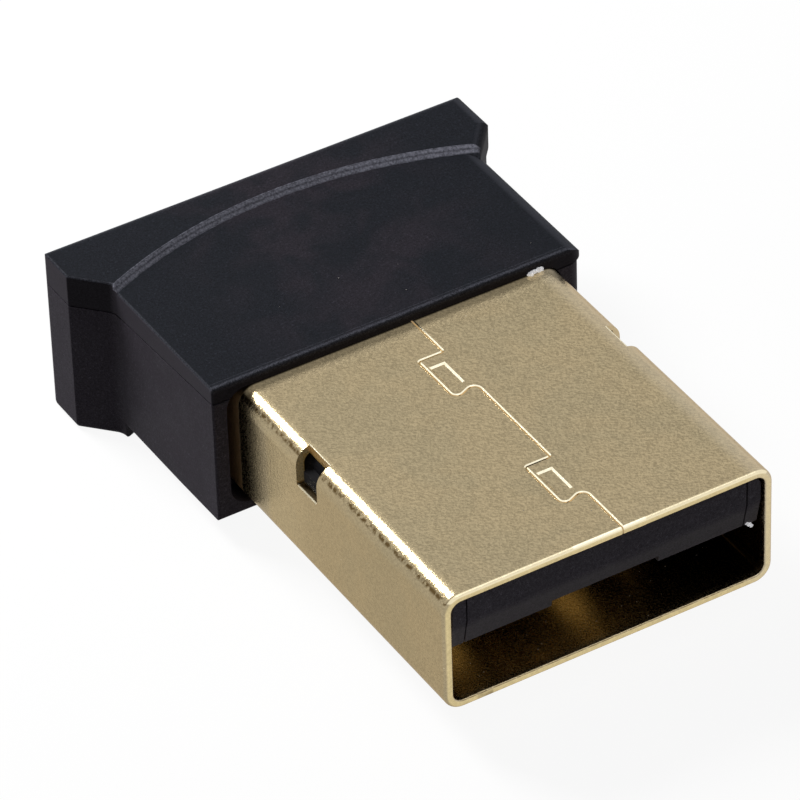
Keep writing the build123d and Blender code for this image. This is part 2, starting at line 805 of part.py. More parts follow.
# Housing lid: flat front panel and raised rear crescent over a U-shaped locating lip and two pegs
with BuildPart() as housing_lid:
    add(housing_form.part)
    add(cap_form.part)
    extrude(parting_profile(-sheet), amount=cap_half + sheet, both=True, mode=Mode.SUBTRACT)
    extrude(rounded_opening(front_y, pocket_gap, pocket_gap_right), amount=-pocket_depth, mode=Mode.SUBTRACT)
    extrude(
        rounded_opening(front_y, collar_fit, collar_fit),
        amount=front_y - shell_end_y - collar_fit,
        mode=Mode.SUBTRACT,
    )
    lip_bottom = parting_rear - lip_depth
    lip = cavity_plan(lip_fit, lip_front_y).moved(Location((0, 0, lip_bottom)))
    extrude(lip, amount=lid_under - lip_bottom)
    with BuildSketch(level(lip_bottom)):
        with Locations((0, lip_front_y)):
            Rectangle(
                2 * (cavity_half - lip_fit - lip_wall),
                cavity_back_y - lip_fit - lip_wall - lip_front_y,
                align=from_front,
            )
    extrude(amount=lid_under - lip_bottom, mode=Mode.SUBTRACT)
    for side in (-1, 1):
        with BuildSketch(level(parting_rear - peg_length)):
            with Locations((side * peg_x, peg_y)):
                Circle(peg_radius)
        extrude(amount=peg_length + peg_fit)
        with BuildSketch(level(board_top + hold_down_fit)):
            with Locations((side * (board_half - hold_down_size - part_gap / 2), antenna_y)):
                Rectangle(hold_down_size, hold_down_size)
        extrude(amount=lid_under - board_top)
housing_lid.part.label = "housing_lid"
export_step(housing_lid.part, "parts/housing_lid.step")
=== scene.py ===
"""Nano radio adapter: finishes, moulding flash, dust, studio and camera around the fixed frame."""

import math
import random

import bmesh
import bpy
from bpy.props import FloatProperty, FloatVectorProperty, IntProperty, PointerProperty
from mathutils import Matrix, Vector, noise as smooth_noise


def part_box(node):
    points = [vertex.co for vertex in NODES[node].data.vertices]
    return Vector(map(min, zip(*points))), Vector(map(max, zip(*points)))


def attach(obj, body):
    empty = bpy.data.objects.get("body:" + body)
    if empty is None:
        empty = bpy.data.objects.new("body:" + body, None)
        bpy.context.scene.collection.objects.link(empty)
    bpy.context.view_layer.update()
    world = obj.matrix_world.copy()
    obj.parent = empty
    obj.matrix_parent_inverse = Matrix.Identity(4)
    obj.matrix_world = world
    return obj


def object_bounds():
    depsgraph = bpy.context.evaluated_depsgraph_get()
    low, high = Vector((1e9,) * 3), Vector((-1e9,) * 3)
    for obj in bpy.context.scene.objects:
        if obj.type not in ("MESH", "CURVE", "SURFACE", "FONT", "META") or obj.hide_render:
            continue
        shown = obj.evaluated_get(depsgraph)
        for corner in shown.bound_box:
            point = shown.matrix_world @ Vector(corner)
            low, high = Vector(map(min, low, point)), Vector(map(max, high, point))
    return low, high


bl_info = {
    "name": "Nano Radio Adapter",
    "version": (1, 0, 0),
    "blender": (4, 5, 0),
    "location": "3D View > Sidebar > Adapter",
    "description": "Dresses the adapter: plating, moulded plastic, board parts, flash, dust and studio",
    "category": "Object",
}

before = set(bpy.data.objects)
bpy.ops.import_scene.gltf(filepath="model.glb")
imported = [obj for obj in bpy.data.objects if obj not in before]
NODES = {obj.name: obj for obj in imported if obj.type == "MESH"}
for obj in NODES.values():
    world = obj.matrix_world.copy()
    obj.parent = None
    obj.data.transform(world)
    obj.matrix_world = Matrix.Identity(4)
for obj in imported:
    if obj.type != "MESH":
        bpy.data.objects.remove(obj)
CAD_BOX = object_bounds()

# Boxes of the CAD nodes, in metres as all lengths here

MM = 0.001
PLUG_LOW, PLUG_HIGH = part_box("plug_shell")
BASE_LOW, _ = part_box("housing_base")
_, LID_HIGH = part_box("housing_lid")
CARRIER_LOW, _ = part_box("contact_carrier")
_, BOARD_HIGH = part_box("circuit_board")

# Places on the housing

FRONT_Y = BASE_LOW.y
PANEL_TOP = LID_HIGH.z - 0.2 * MM
CAP_HALF = LID_HIGH.x
BODY_HALF = CAP_HALF - 1.06 * MM
FLARE_RUN = 1.15 * MM
FLARE_Y = LID_HIGH.y - 2.85 * MM
RIDGE_HALF = 6.92 * MM
PANEL_CLOUD = (-3.6 * MM, 4.2 * MM)

# Places on the plug and its carrier

MOUTH_Y = PLUG_LOW.y
PLUG_TOP = PLUG_HIGH.z
EAR_REACH = 0.42 * MM
PLUG_HALF = PLUG_HIGH.x - EAR_REACH
SHEET = 0.3 * MM
SEAM_HALF = 1.3 * MM
WINDOW_Y = (MOUTH_Y + 7.5 * MM, MOUTH_Y + 8.75 * MM)
WINDOW_FOOT = PLUG_TOP - 1.4 * MM
WINDOW_INNER = PLUG_HALF - 0.56 * MM
NICK_X = (-4.85 * MM, -4.3 * MM)
LOWER_HIGHLIGHT_Z = CARRIER_LOW.z + 2.78 * MM

# Crumbs of the torn flash and of the burr: place across, height and width, in millimetres

LID_FLASH = (
    (4.84, 5.69, 0.20),
    (5.00, 5.72, 0.24),
    (5.16, 5.74, 0.22),
    (5.30, 5.72, 0.14),
    (4.92, 5.65, 0.12),
)
CARRIER_BURR = ((5.24, 3.40, 0.14), (5.32, 3.33, 0.16), (5.40, 3.25, 0.14))

# Studio, with the sensor's width in millimetres as Blender has it

FLOOR_HALF = 1.5
FLOOR_Z = -0.02 * MM
LAMP_DISTANCE = 120 * MM
SENSOR_WIDTH = 36
CLIP_NEAR, CLIP_FAR = 0.01, 10


# Properties of the settings


def colour(name, description, default):
    """A colour that a user can change, with its default as linear red, green and blue."""
    return FloatVectorProperty(
        name=name, description=description, default=default, size=3, min=0, max=1, subtype="COLOR"
    )


def length(name, description, default):
    """A length that a user can change, with its default in millimetres."""
    return FloatProperty(
        name=name, description=description, default=default * MM, min=0, unit="LENGTH", precision=5
    )


def share(name, description, default):
    """A plain factor from 0 to 1 that a user can change."""
    return FloatProperty(
        name=name, description=description, default=default, min=0, max=1, subtype="FACTOR"
    )


def angle(name, description, default):
    """An angle that a user can change, with its default in degrees."""
    return FloatProperty(
        name=name, description=description, default=math.radians(default), unit="ROTATION"
    )


def number(name, description, default):
    """A whole number that a user can change."""
    return IntProperty(name=name, description=description, default=default, min=0)


def power(name, description, default):
    """A lamp's power that a user can change, in watts."""
    return FloatProperty(name=name, description=description, default=default, min=0, unit="POWER")


def direction(name, description, default):
    """A direction that a user can change, seen from the middle of the adapter."""
    return FloatVectorProperty(name=name, description=description, default=default, subtype="DIRECTION")


class PlatingSettings(bpy.types.PropertyGroup):
    """Gold flash over the folded sheet and the contacts"""

    warm: colour("Warm gold", "Colour of the plating where it looks yellow", (0.375, 0.303, 0.184))
    cool: colour("Cool gold", "Colour of the plating where it looks greyish", (0.350, 0.288, 0.178))
    # Painted sheen: the right bend is painted lighter in place of a soft highlight
    right_bend_sheen: colour("Right bend sheen", "Colour of the plating on the right bend", (0.62, 0.52, 0.37))
    # Painted sheen: the right side and the top near its right edge are painted paler
    right_side_sheen: colour("Right side sheen", "Colour of the plating on the right side", (0.66, 0.58, 0.45))
    # Painted shade: the dark reflections beside the bends' highlights are painted as ragged lines
    shadow: colour("Bend shade lines", "Colour of the ragged lines along the bends", (0.10, 0.062, 0.022))
    # Sheared edges: the cut metal's own colour, painted lighter in place of the light they reflect
    sheared: colour("Sheared edge", "Colour of the cut edges of the sheet", (0.70, 0.57, 0.30))
    # Painted highlight: a bright cream band on the rim of the mouth
    lip_highlight: colour("Lip highlight", "Colour of the rounded rim of the mouth", (0.95, 0.84, 0.58))
    # Painted highlights: bright slopes along the seam and the coined rectangles
    seam: colour("Seam edge highlights", "Colour of the slopes along the seam and the rectangles", (1.0, 0.92, 0.70))
    # Painted glow: emission on the walls inside the seam
    seam_wall_glow: colour("Seam wall glow", "Light of the walls inside the seam", (0.30, 0.225, 0.12))
    window_wall: colour("Window walls", "Colour of the windows' upright cut faces", (0.48, 0.30, 0.11))
    # Painted shade: the level cut faces in the windows are painted nearly black
    window_sill_shade: colour("Window sill shade", "Colour of the windows' level cut faces", (0.05, 0.03, 0.01))
    # Painted highlights: bright lines along the edges of the level cut faces
    window_brim_highlight: colour("Window brim highlights", "Colour of the lines along the level cut faces", (1.0, 0.93, 0.70))
    nick: colour("Nick", "Colour of the nick in the lower edge of the mouth", (0.12, 0.08, 0.04))
    # Painted shade: the gold inside the pocket is painted dark brown, and nearly black under the lid
    pocket_shade: colour("Pocket shade", "Painted shade on the sheet inside the pocket", (0.24, 0.14, 0.065))
    pocket_top_shade: colour("Pocket shade on top", "Painted shade on the sheet under the lid", (0.02, 0.012, 0.006))
    # Painted light: the plating inside the mouth is painted as a bright streaked reflection
    inside: colour("Inside", "Colour of the plating deep in the mouth", (0.56, 0.37, 0.13))
    speck: colour("Specks", "Colour of the specks on the plating", (0.75, 0.68, 0.52))
    tint: colour("Sheet's gloss", "Tint of the sheet where it is seen at a flat angle", (0.78, 0.68, 0.55))
    strip_tint: colour("Contacts' gloss", "Tint of the contacts seen at a flat angle", (0.75, 0.6, 0.45))
    patch: length("Patch size", "Size of the patches of warm and cool gold", 2.2)
    ripple: length("Ripple size", "Size of the fine ripples of the plated sheet", 0.115)
    ripple_height: length("Ripple height", "Height of the fine ripples", 0.012)
    roughness: share("Roughness", "Roughness of the plating", 0.26)


class HousingSettings(bpy.types.PropertyGroup):
    """Moulded housing: base, lid and the carrier of the contacts"""

    lid: colour("Lid", "Colour of the lid's plastic", (0.0100, 0.0112, 0.0148))
    lid_patch: colour("Lid patches", "Colour of the lid's faint warm patches", (0.0180, 0.0160, 0.0208))
    base: colour("Base", "Colour of the base's plastic", (0.0450, 0.0400, 0.0500))
    base_patch: colour("Base patches", "Colour of the base's faint patches", (0.0390, 0.0335, 0.0430))
    carrier: colour("Carrier", "Colour of the contact carrier", (0.105, 0.096, 0.114))
    # Painted highlight: the carrier's front is painted paler low down
    carrier_highlight: colour("Carrier highlight", "Colour of the painted highlight low on the carrier's front", (0.170, 0.157, 0.170))
    # Colour of the lighter edges: wear, painted sheen and painted highlights
    wear_and_sheen: colour("Edge wear and sheen", "Colour of the rough, lighter edges", (0.105, 0.108, 0.132))
    # Ridge colour: partly scuffing, partly a painted highlight on the slope that faces the front
    ridge: colour("Ridge", "Colour of the scuffed arc-shaped ridge", (0.40, 0.405, 0.49))
    speck: colour("Specks", "Colour of the specks on the housing", (0.10, 0.10, 0.11))
    carrier_speck: colour("Carrier specks", "Colour of the specks on the carrier", (0.14, 0.14, 0.15))
    patch: length("Patch size", "Size of the patches on the housing", 2.1)
    grain: length("Grain size", "Size of the eroded grain of the mould", 0.08)
    grain_height: length("Grain height", "Height of the eroded grain", 0.004)
    roughness: share("Roughness", "Roughness of the plastic", 0.52)
    ridge_start: length("Ridge at the sides", "Place along the adapter of the arc's ends", 7.605)
    ridge_apex: length("Ridge in the middle", "Place along the adapter of the arc's middle", 9.175)
    ridge_width: length("Ridge width", "Width of the sloping ridge along the arc", 0.22)


class BoardSettings(bpy.types.PropertyGroup):
    """Circuit board and the parts on it"""

    mask: colour("Solder mask", "Colour of the varnish over the laminate", (0.008, 0.070, 0.022))
    track: colour("Tracks", "Colour of the varnish over copper", (0.020, 0.130, 0.045))
    ring: colour("Via rings", "Colour of the rings of the vias", (0.10, 0.22, 0.08))
    drill: colour("Via holes", "Colour of the drilled middles of the vias", (0.004, 0.012, 0.006))
    laminate: colour("Laminate", "Colour of the board's bare edge", (0.230, 0.190, 0.070))
    epoxy: colour("Moulding compound", "Colour of the chips' bodies", (0.012, 0.012, 0.013))
    polish: colour("Chip frames", "Colour of the polished frame on the chips' tops", (0.030, 0.030, 0.032))
    tin: colour("Tin", "Colour of tinned ends, leads and solder", (0.56, 0.56, 0.545))
    flux: colour("Flux", "Colour of the flux at the foot of the solder", (0.22, 0.14, 0.05))
    can: colour("Crystal can", "Colour of the crystal's metal lid", (0.620, 0.600, 0.540))
    weld: colour("Crystal weld", "Colour of the welded rim of the crystal's lid", (0.34, 0.33, 0.29))
    tray: colour("Crystal tray", "Colour of the crystal's ceramic tray", (0.030, 0.026, 0.024))
    tan: colour("Tan ceramic", "Colour of the capacitors", (0.300, 0.185, 0.095))
    white: colour("White ceramic", "Colour of the antenna", (0.680, 0.690, 0.660))
    grey: colour("Grey ferrite", "Colour of the bead and the inductor", (0.060, 0.060, 0.064))
    lamp: colour("Lamp resin", "Colour of the lamp's lens", (0.620, 0.600, 0.420))
    lamp_body: colour("Lamp body", "Colour of the lamp's pale body", (0.60, 0.60, 0.56))
    die: colour("Lamp die", "Colour of the die seen through the lamp's lens", (0.30, 0.22, 0.05))
    track_pitch: length("Track pitch", "Distance between neighbouring tracks", 0.62)
    lead_pitch: length("Lead pitch", "Distance between neighbouring leads of the chips", 0.5)
    meander_pitch: length("Meander pitch", "Distance between the antenna's printed bars", 0.4)


class LooseSettings(bpy.types.PropertyGroup):
    """Flash, burrs and dust"""

    pale: colour("Pale flash", "Colour of the torn flash and burrs", (0.93, 0.93, 0.96))
    dust: colour("Dust", "Colour of the dust", (0.50, 0.47, 0.42))
    lid_flakes: number("Flakes on the lid", "Number of dust flakes on the lid", 5)
    plug_flakes: number("Flakes on the plug", "Number of dust flakes on the plug", 7)
    mouth_flakes: number("Flakes in the mouth", "Number of dust flakes in the mouth", 34)
    flake: length("Flake size", "Width of the largest dust flake", 0.045)
    seed: number("Seed", "Seed of the shapes and places of flash and dust", 7)


class StudioSettings(bpy.types.PropertyGroup):
    """Floor, lamps and camera"""

    azimuth: angle("Azimuth", "Direction of the camera round the adapter", -30.165)
    elevation: angle("Elevation", "Height of the camera above the horizon", 38.359)
    roll: angle("Roll", "Turn of the camera about its own axis", -1.951)
    distance: length("Distance", "Distance of the camera from the point it aims at", 206.948)
    aim: FloatVectorProperty(
        name="Aim",
        description="Point that the camera aims at",
        default=(-0.376 * MM, 1.1165 * MM, 3.11 * MM),
        subtype="TRANSLATION",
    )
    lens: FloatProperty(name="Lens", description="Focal length of the camera", default=291.42, unit="CAMERA")
    floor: colour("Floor", "Colour of the floor where it is seen", (0.95, 0.95, 0.95))
    bounce: colour("Bounce", "Colour of the floor as it lights the adapter from below", (0.24, 0.24, 0.24))
    glow: share("Floor glow", "Share of plain white in the floor where it is seen", 0.92)
    sky: FloatProperty(name="Sky", description="Strength of the soft light from all round", default=0.07)
    key: power("Key", "Power of the lamp at the rear left", 0.18)
    key_size: length("Key size", "Width of the lamp at the rear left", 40)
    key_place: direction("Key place", "Where the lamp at the rear left stands", (-0.27, 0.678, 0.684))
    top: power("Top", "Power of the lamp overhead", 0.016)
    top_size: length("Top size", "Width of the lamp overhead", 90)
    top_place: direction("Top place", "Where the lamp overhead hangs", (0.1, -0.35, 1.0))


# Nodes


def wire(tree, socket, value):
    """Links an output to the socket, or sets the socket to a plain value."""
    if isinstance(value, bpy.types.NodeSocket):
        tree.links.new(value, socket)
    elif hasattr(value, "__len__") and socket.type == "RGBA":
        socket.default_value = (*value[:3], 1)
    else:
        socket.default_value = value


def add_node(tree, kind, inputs=None, **settings):
    """Adds a node to the tree, sets its properties, and sets or links its inputs."""
    node = tree.nodes.new(kind)
    for name, value in settings.items():
        setattr(node, name, value)
    for name, value in (inputs or {}).items():
        wire(tree, node.inputs[name], value)
    return node


def maths(tree, operation, first, *others):
    """Output of a Math node, or of a row of them where there are more than two values."""
    if not others:
        return add_node(tree, "ShaderNodeMath", {0: first}, operation=operation).outputs[0]
    for value in others:
        first = add_node(tree, "ShaderNodeMath", {0: first, 1: value}, operation=operation).outputs[0]
    return first


def add(tree, *values):
    """Sum of values."""
    return maths(tree, "ADD", *values)


def less(tree, first, second):
    """The first value less the second."""
    return maths(tree, "SUBTRACT", first, second)


def times(tree, *values):
    """Product of values."""
    return maths(tree, "MULTIPLY", *values)


def over(tree, first, second):
    """The first value divided by the second."""
    return maths(tree, "DIVIDE", first, second)


def most(tree, *values):
    """Largest of values."""
    return maths(tree, "MAXIMUM", *values)


def unsigned(tree, value):
    """A value without its sign."""
    return maths(tree, "ABSOLUTE", value)


def spread(tree, value, low, high, to_low=0.0, to_high=1.0, smooth=False):
    """A value's range from low to high, mapped to another range and held there."""
    inputs = {"Value": value, "From Min": low, "From Max": high, "To Min": to_low, "To Max": to_high}
    kind = "SMOOTHSTEP" if smooth else "LINEAR"
    return add_node(tree, "ShaderNodeMapRange", inputs, interpolation_type=kind).outputs["Result"]


def fade(tree, value, low, high, smooth=False):
    """1 where a value lies below low, and 0 above high."""
    return spread(tree, value, low, high, 1.0, 0.0, smooth)


def between(tree, value, low, high, soft):
    """1 where a value lies between low and high, with soft borders."""
    rise = spread(tree, value, low - soft, low + soft)
    return times(tree, rise, fade(tree, value, high - soft, high + soft))


def blend(tree, factor, first, second):
    """Output of a colour Mix node."""
    node = add_node(tree, "ShaderNodeMix", data_type="RGBA")
    sockets = {socket.identifier: socket for socket in node.inputs}
    for name, value in (("Factor_Float", factor), ("A_Color", first), ("B_Color", second)):
        wire(tree, sockets[name], value)
    return next(s for s in node.outputs if s.identifier == "Result_Color")


def lay(tree, tone, *layers):
    """The tone under layers, each given as its mask and its colour, the lowest first."""
    for mask, layer in layers:
        tone = blend(tree, mask, tone, layer)
    return tone


def shade(tree, tone, value, low, high):
    """A colour made darker or lighter by a value from 0 to 1."""
    factor = spread(tree, value, 0, 1, low, high)
    return add_node(tree, "ShaderNodeVectorMath", {0: tone, "Scale": factor}, operation="SCALE").outputs[0]


def noise(tree, place, scale, detail=2.0, rough=0.5, distortion=0.0):
    """Value of a noise texture, about 0.5 in the middle, with its scale in lumps per metre."""
    inputs = {"Vector": place, "Scale": scale, "Detail": detail, "Roughness": rough, "Distortion": distortion}
    return add_node(tree, "ShaderNodeTexNoise", inputs).outputs["Fac"]


def mapped(tree, place, **inputs):
    """A place that is moved, turned or scaled."""
    return add_node(tree, "ShaderNodeMapping", {"Vector": place, **inputs}).outputs[0]


def split(tree, vector):
    """The three parts of a vector."""
    return add_node(tree, "ShaderNodeSeparateXYZ", {0: vector}).outputs[:]


def new_group(name, inputs, outputs):
    """A new shader node group with named sockets, and its input and output sockets."""
    group = bpy.data.node_groups.new(name, "ShaderNodeTree")
    for socket, default in inputs.items():
        kind = {type(None): "Vector", float: "Float", tuple: "Color"}[type(default)]
        made = group.interface.new_socket(name=socket, in_out="INPUT", socket_type="NodeSocket" + kind)
        if kind == "Float":
            made.default_value = default
        elif kind == "Color":
            made.default_value = (*default, 1)
    for socket, kind in outputs.items():
        group.interface.new_socket(name=socket, in_out="OUTPUT", socket_type="NodeSocket" + kind)
    return group, group.nodes.new("NodeGroupInput").outputs, group.nodes.new("NodeGroupOutput").inputs


def orange_peel_group():
    """Wavy fine wrinkles of a plated sheet: their height, and their painted light and shade as if lit from
    one side.
    """
    group, given, result = new_group(
        "Orange peel", {"Place": None, "Ripple size": 0.15 * MM}, {"Height": "Float", "Relief shade": "Float"}
    )
    scale = over(group, 1.0, given["Ripple size"])
    warped = mapped(group, given["Place"], Rotation=(0, 0, 0.5), Scale=(1.0, 1.2, 1.0))
    aside = mapped(group, warped, Location=(0.022 * MM, 0.026 * MM, 0.022 * MM))
    here = noise(group, warped, scale, 3.0, 0.6, 0.25)
    there = noise(group, aside, scale, 3.0, 0.6, 0.25)
    group.links.new(here, result["Height"])
    group.links.new(spread(group, less(group, here, there), -0.13, 0.13), result["Relief shade"])
    return group


def mould_grain_group():
    """Eroded grain of a mould: a fine height, its speckle, and a sparse mask of its peaks."""
    group, given, result = new_group(
        "Mould grain",
        {"Place": None, "Grain size": 0.07 * MM},
        {"Height": "Float", "Speckle": "Float", "Peaks": "Float"},
    )
    scale = over(group, 1.0, given["Grain size"])
    coarse = noise(group, given["Place"], scale, 3.0, 0.7)
    fine = noise(group, given["Place"], times(group, scale, 2.3), 1.0)
    height = times(group, add(group, coarse, fine), 0.5)
    group.links.new(height, result["Height"])
    group.links.new(spread(group, height, 0.36, 0.64), result["Speckle"])
    group.links.new(spread(group, coarse, 0.62, 0.74), result["Peaks"])
    return group


def colour_drift_group():
    """Slow cloudy drift between two colours over a surface."""
    group, given, result = new_group(
        "Colour drift",
        {"Place": None, "Patch size": 2.6 * MM, "First": (0.0, 0.0, 0.0), "Second": (1.0, 1.0, 1.0)},
        {"Colour": "Color", "Patches": "Float"},
    )
    scale = over(group, 1.0, given["Patch size"])
    patches = spread(group, noise(group, given["Place"], scale, 2.0, 0.55, 0.5), 0.36, 0.64, smooth=True)
    group.links.new(blend(group, patches, given["First"], given["Second"]), result["Colour"])
    group.links.new(patches, result["Patches"])
    return group


def dust_specks_group():
    """Sparse specks of dust: a mask of small spots of uneven size."""
    group, given, result = new_group(
        "Dust specks",
        {"Place": None, "Spacing": 0.6 * MM, "Speck size": 0.08, "Amount": 0.3},
        {"Mask": "Float"},
    )
    scale = over(group, 1.0, given["Spacing"])
    cells = add_node(group, "ShaderNodeTexVoronoi", {"Vector": given["Place"], "Scale": scale})
    pick = add_node(group, "ShaderNodeSeparateColor", {0: cells.outputs["Color"]}).outputs
    reach = times(group, given["Speck size"], pick[1])
    near = maths(group, "LESS_THAN", cells.outputs["Distance"], reach)
    group.links.new(times(group, near, maths(group, "LESS_THAN", pick[0], given["Amount"])), result["Mask"])
    return group


def edge_wear_group():
    """Rough lighter edges, partly wear and partly painted sheen: surfaces tilted between level and upright,
    broken up by grain.
    """
    group, given, result = new_group(
        "Edge wear",
        {"Place": None, "Facing": None, "Grain size": 0.06 * MM},
        {"Mask": "Float", "Crumbs": "Float"},
    )
    tilt = between(group, unsigned(group, split(group, given["Facing"])[2]), 0.32, 0.95, 0.035)
    scale = over(group, 1.0, given["Grain size"])
    broken = spread(group, noise(group, given["Place"], scale, 3.0, 0.7), 0.34, 0.6)
    group.links.new(broken, result["Crumbs"])
    group.links.new(times(group, tilt, broken), result["Mask"])
    return group


MAKERS = {
    "peel": orange_peel_group,
    "grain": mould_grain_group,
    "drift": colour_drift_group,
    "specks": dust_specks_group,
    "wear": edge_wear_group,
}
GROUPS = {}


class Finish:
    """A material with a Principled shader, and the sockets that its nodes start from."""

    def __init__(self, name, **constants):
        self.material = bpy.data.materials.new(name)
        self.material.use_nodes = True
        self.tree = self.material.node_tree
        self.shader = next(n for n in self.tree.nodes if n.type == "BSDF_PRINCIPLED")
        self.feed(**constants)
        coordinates = add_node(self.tree, "ShaderNodeTexCoord").outputs
        self.place, self.facing = coordinates["Object"], coordinates["Normal"]
        self.x, self.y, self.z = split(self.tree, self.place)
        self.tilt_x, self.tilt_y, self.tilt_z = split(self.tree, self.facing)

    def feed(self, **values):
        """Sets or links the shader's sockets."""
        for socket, value in values.items():
            wire(self.tree, self.shader.inputs[socket.replace("_", " ")], value)

    def bump(self, height, distance):
        """Feeds a height, scaled to a distance in metres, to the shader's Normal."""
        node = add_node(self.tree, "ShaderNodeBump", {"Height": height, "Distance": distance})
        self.feed(Normal=node.outputs["Normal"])

    def use(self, name, **inputs):
        """Places a shared node group at the material's own place and returns its outputs."""
        if name not in GROUPS:
            GROUPS[name] = MAKERS[name]()
        node = self.tree.nodes.new("ShaderNodeGroup")
        node.node_tree = GROUPS[name]
        for socket, value in {"place": self.place, **inputs}.items():
            wire(self.tree, node.inputs[socket.replace("_", " ").capitalize()], value)
        return node.outputs

    def speck_layer(self, spacing, amount, strength, tone):
        """Layer of sparse specks of dust."""
        specks = self.use("specks", spacing=spacing, speck_size=0.05, amount=amount)
        return times(self.tree, specks["Mask"], strength), tone


# Plug and contacts


def gold_tone(finish, settings):
    """Drifting gold with its wrinkles: the colour with the wrinkles' painted light and shade, and their
    height and relief shade.
    """
    tree = finish.tree
    drift = finish.use("drift", patch_size=settings.patch, first=settings.warm, second=settings.cool)
    peel = finish.use("peel", ripple_size=settings.ripple)
    # Painted light and shade of the wrinkles, strong on faces that look up and faint on the others
    strong = shade(tree, drift["Colour"], peel["Relief shade"], 0.72, 1.28)
    faint = shade(tree, drift["Colour"], peel["Relief shade"], 0.9, 1.09)
    return blend(tree, spread(tree, finish.tilt_z, 0.4, 0.8), faint, strong), peel


def window_mask(finish, across):
    """Cut faces of the two windows in the upper bends."""
    tree = finish.tree
    return times(
        tree,
        between(tree, finish.y, *WINDOW_Y, 0.004 * MM),
        spread(tree, finish.z, WINDOW_FOOT, WINDOW_FOOT + 0.015 * MM),
        spread(tree, across, WINDOW_INNER, WINDOW_INNER + 0.01 * MM),
    )


def cut_tone(finish, settings, across, window, burnish):
    """Colour of the sheared edges, painted lighter for the light they reflect, and in the windows of their
    walls, the painted shade of their sills and the painted highlight lines along the sills.
    """
    tree = finish.tree
    brim_highlight = most(
        tree,
        spread(tree, across, PLUG_HALF - 0.07 * MM, PLUG_HALF - 0.05 * MM),
        fade(tree, across, PLUG_HALF - 0.27 * MM, PLUG_HALF - 0.25 * MM),
    )
    level = blend(tree, brim_highlight, settings.window_sill_shade, settings.window_brim_highlight)
    cut = blend(tree, spread(tree, finish.tilt_z, 0.5, 0.8), settings.window_wall, level)
    edge = shade(tree, settings.sheared, burnish, 0.7, 1.3)
    return blend(tree, window, edge, shade(tree, cut, burnish, 0.8, 1.2))


def bend_shade_lines(finish, across):
    """Painted shade: ragged dark lines along the upper bends, a strong one below their highlight and a
    fainter one above it.
    """
    tree = finish.tree
    low = times(tree, between(tree, finish.tilt_z, 0.56, 0.74, 0.05), 0.95)
    high = between(tree, across, PLUG_HALF - 0.38 * MM, PLUG_HALF - 0.21 * MM, 0.03 * MM)
    high = times(tree, high, spread(tree, finish.tilt_z, 0.5, 0.9), 0.5)
    ragged = spread(tree, noise(tree, finish.place, 5200.0, 2.0, 0.6), 0.4, 0.56)
    return times(tree, most(tree, low, high), ragged)


def lip_highlight_mask(finish, along):
    """Painted highlight on the upper part of the mouth's rounded rim."""
    tree = finish.tree
    return times(
        tree,
        between(tree, finish.tilt_z, 0.3, 0.9, 0.08),
        spread(tree, along, 0.35, 0.5),
        spread(tree, finish.z, PLUG_TOP - 0.25 * MM, PLUG_TOP - 0.2 * MM),
        0.8,
    )


def inner_mask(finish, across):
    """Inner faces of the sheet, behind the mouth's rim."""
    tree = finish.tree
    face = SHEET - 0.015 * MM
    return times(
        tree,
        fade(tree, across, PLUG_HALF - 0.28 * MM, PLUG_HALF - 0.27 * MM),
        between(tree, finish.z, PLUG_LOW.z + face, PLUG_TOP - face, 0.01 * MM),
        spread(tree, finish.y, MOUTH_Y + 0.1 * MM, MOUTH_Y + 0.35 * MM),
    )


def inner_glow_tone(finish, settings):
    """Painted reflection: streaked bright gold that fades into painted shade to the right."""
    tree = finish.tree
    streaked = shade(tree, settings.inside, noise(tree, finish.x, 700.0, 1.0), 0.4, 1.6)
    return shade(tree, streaked, fade(tree, finish.x, 0.8 * MM, 3.2 * MM), 0.12, 1.0)


def nick_mask(finish):
    """Small nick in the lower edge of the mouth."""
    tree = finish.tree
    return times(
        tree,
        between(tree, finish.x, *NICK_X, 0.03 * MM),
        fade(tree, finish.y, MOUTH_Y + 0.01 * MM, MOUTH_Y + 0.12 * MM),
        fade(tree, finish.z, PLUG_LOW.z + 0.32 * MM, PLUG_LOW.z + 0.36 * MM),
        spread(tree, noise(tree, finish.place, 2600.0, 2.0), 0.3, 0.7),
    )


def pocket_shade_tone(finish, settings, burnish):
    """Painted shade on the sheet inside the pocket, darker on its upper faces under the lid."""
    tree = finish.tree
    pocket_shade = shade(tree, settings.pocket_shade, burnish, 0.6, 1.4)
    return blend(tree, spread(tree, finish.tilt_z, 0.5, 0.8), pocket_shade, settings.pocket_top_shade)


def sheet_glow(finish, settings, tone, beside, pocket, near_seam, along):
    """Painted glow of the sheet: emission that lifts the shade and dark reflections beside the lid and on the
    rear of its sides, and lights the walls inside the seam.
    """
    tree = finish.tree
    rearward = times(
        tree,
        spread(tree, finish.y, FRONT_Y - 5.0 * MM, FRONT_Y - 2.3 * MM, smooth=True),
        spread(tree, finish.tilt_z, 0.2, 0.5, 0.15, 0.0),
        fade(tree, finish.y, FRONT_Y - 1.5 * MM, FRONT_Y - 0.7 * MM),
    )
    lifted = times(tree, most(tree, times(tree, beside, 1.4), rearward), less(tree, 1.0, pocket))
    walls = times(
        tree,
        near_seam,
        fade(tree, finish.tilt_z, 0.1, 0.2),
        spread(tree, finish.z, PLUG_TOP - 0.29 * MM, PLUG_TOP - 0.28 * MM),
        fade(tree, along, 0.97, 0.99),
    )
    black = (0.0, 0.0, 0.0)
    return lay(tree, black, (lifted, tone), (walls, settings.seam_wall_glow))


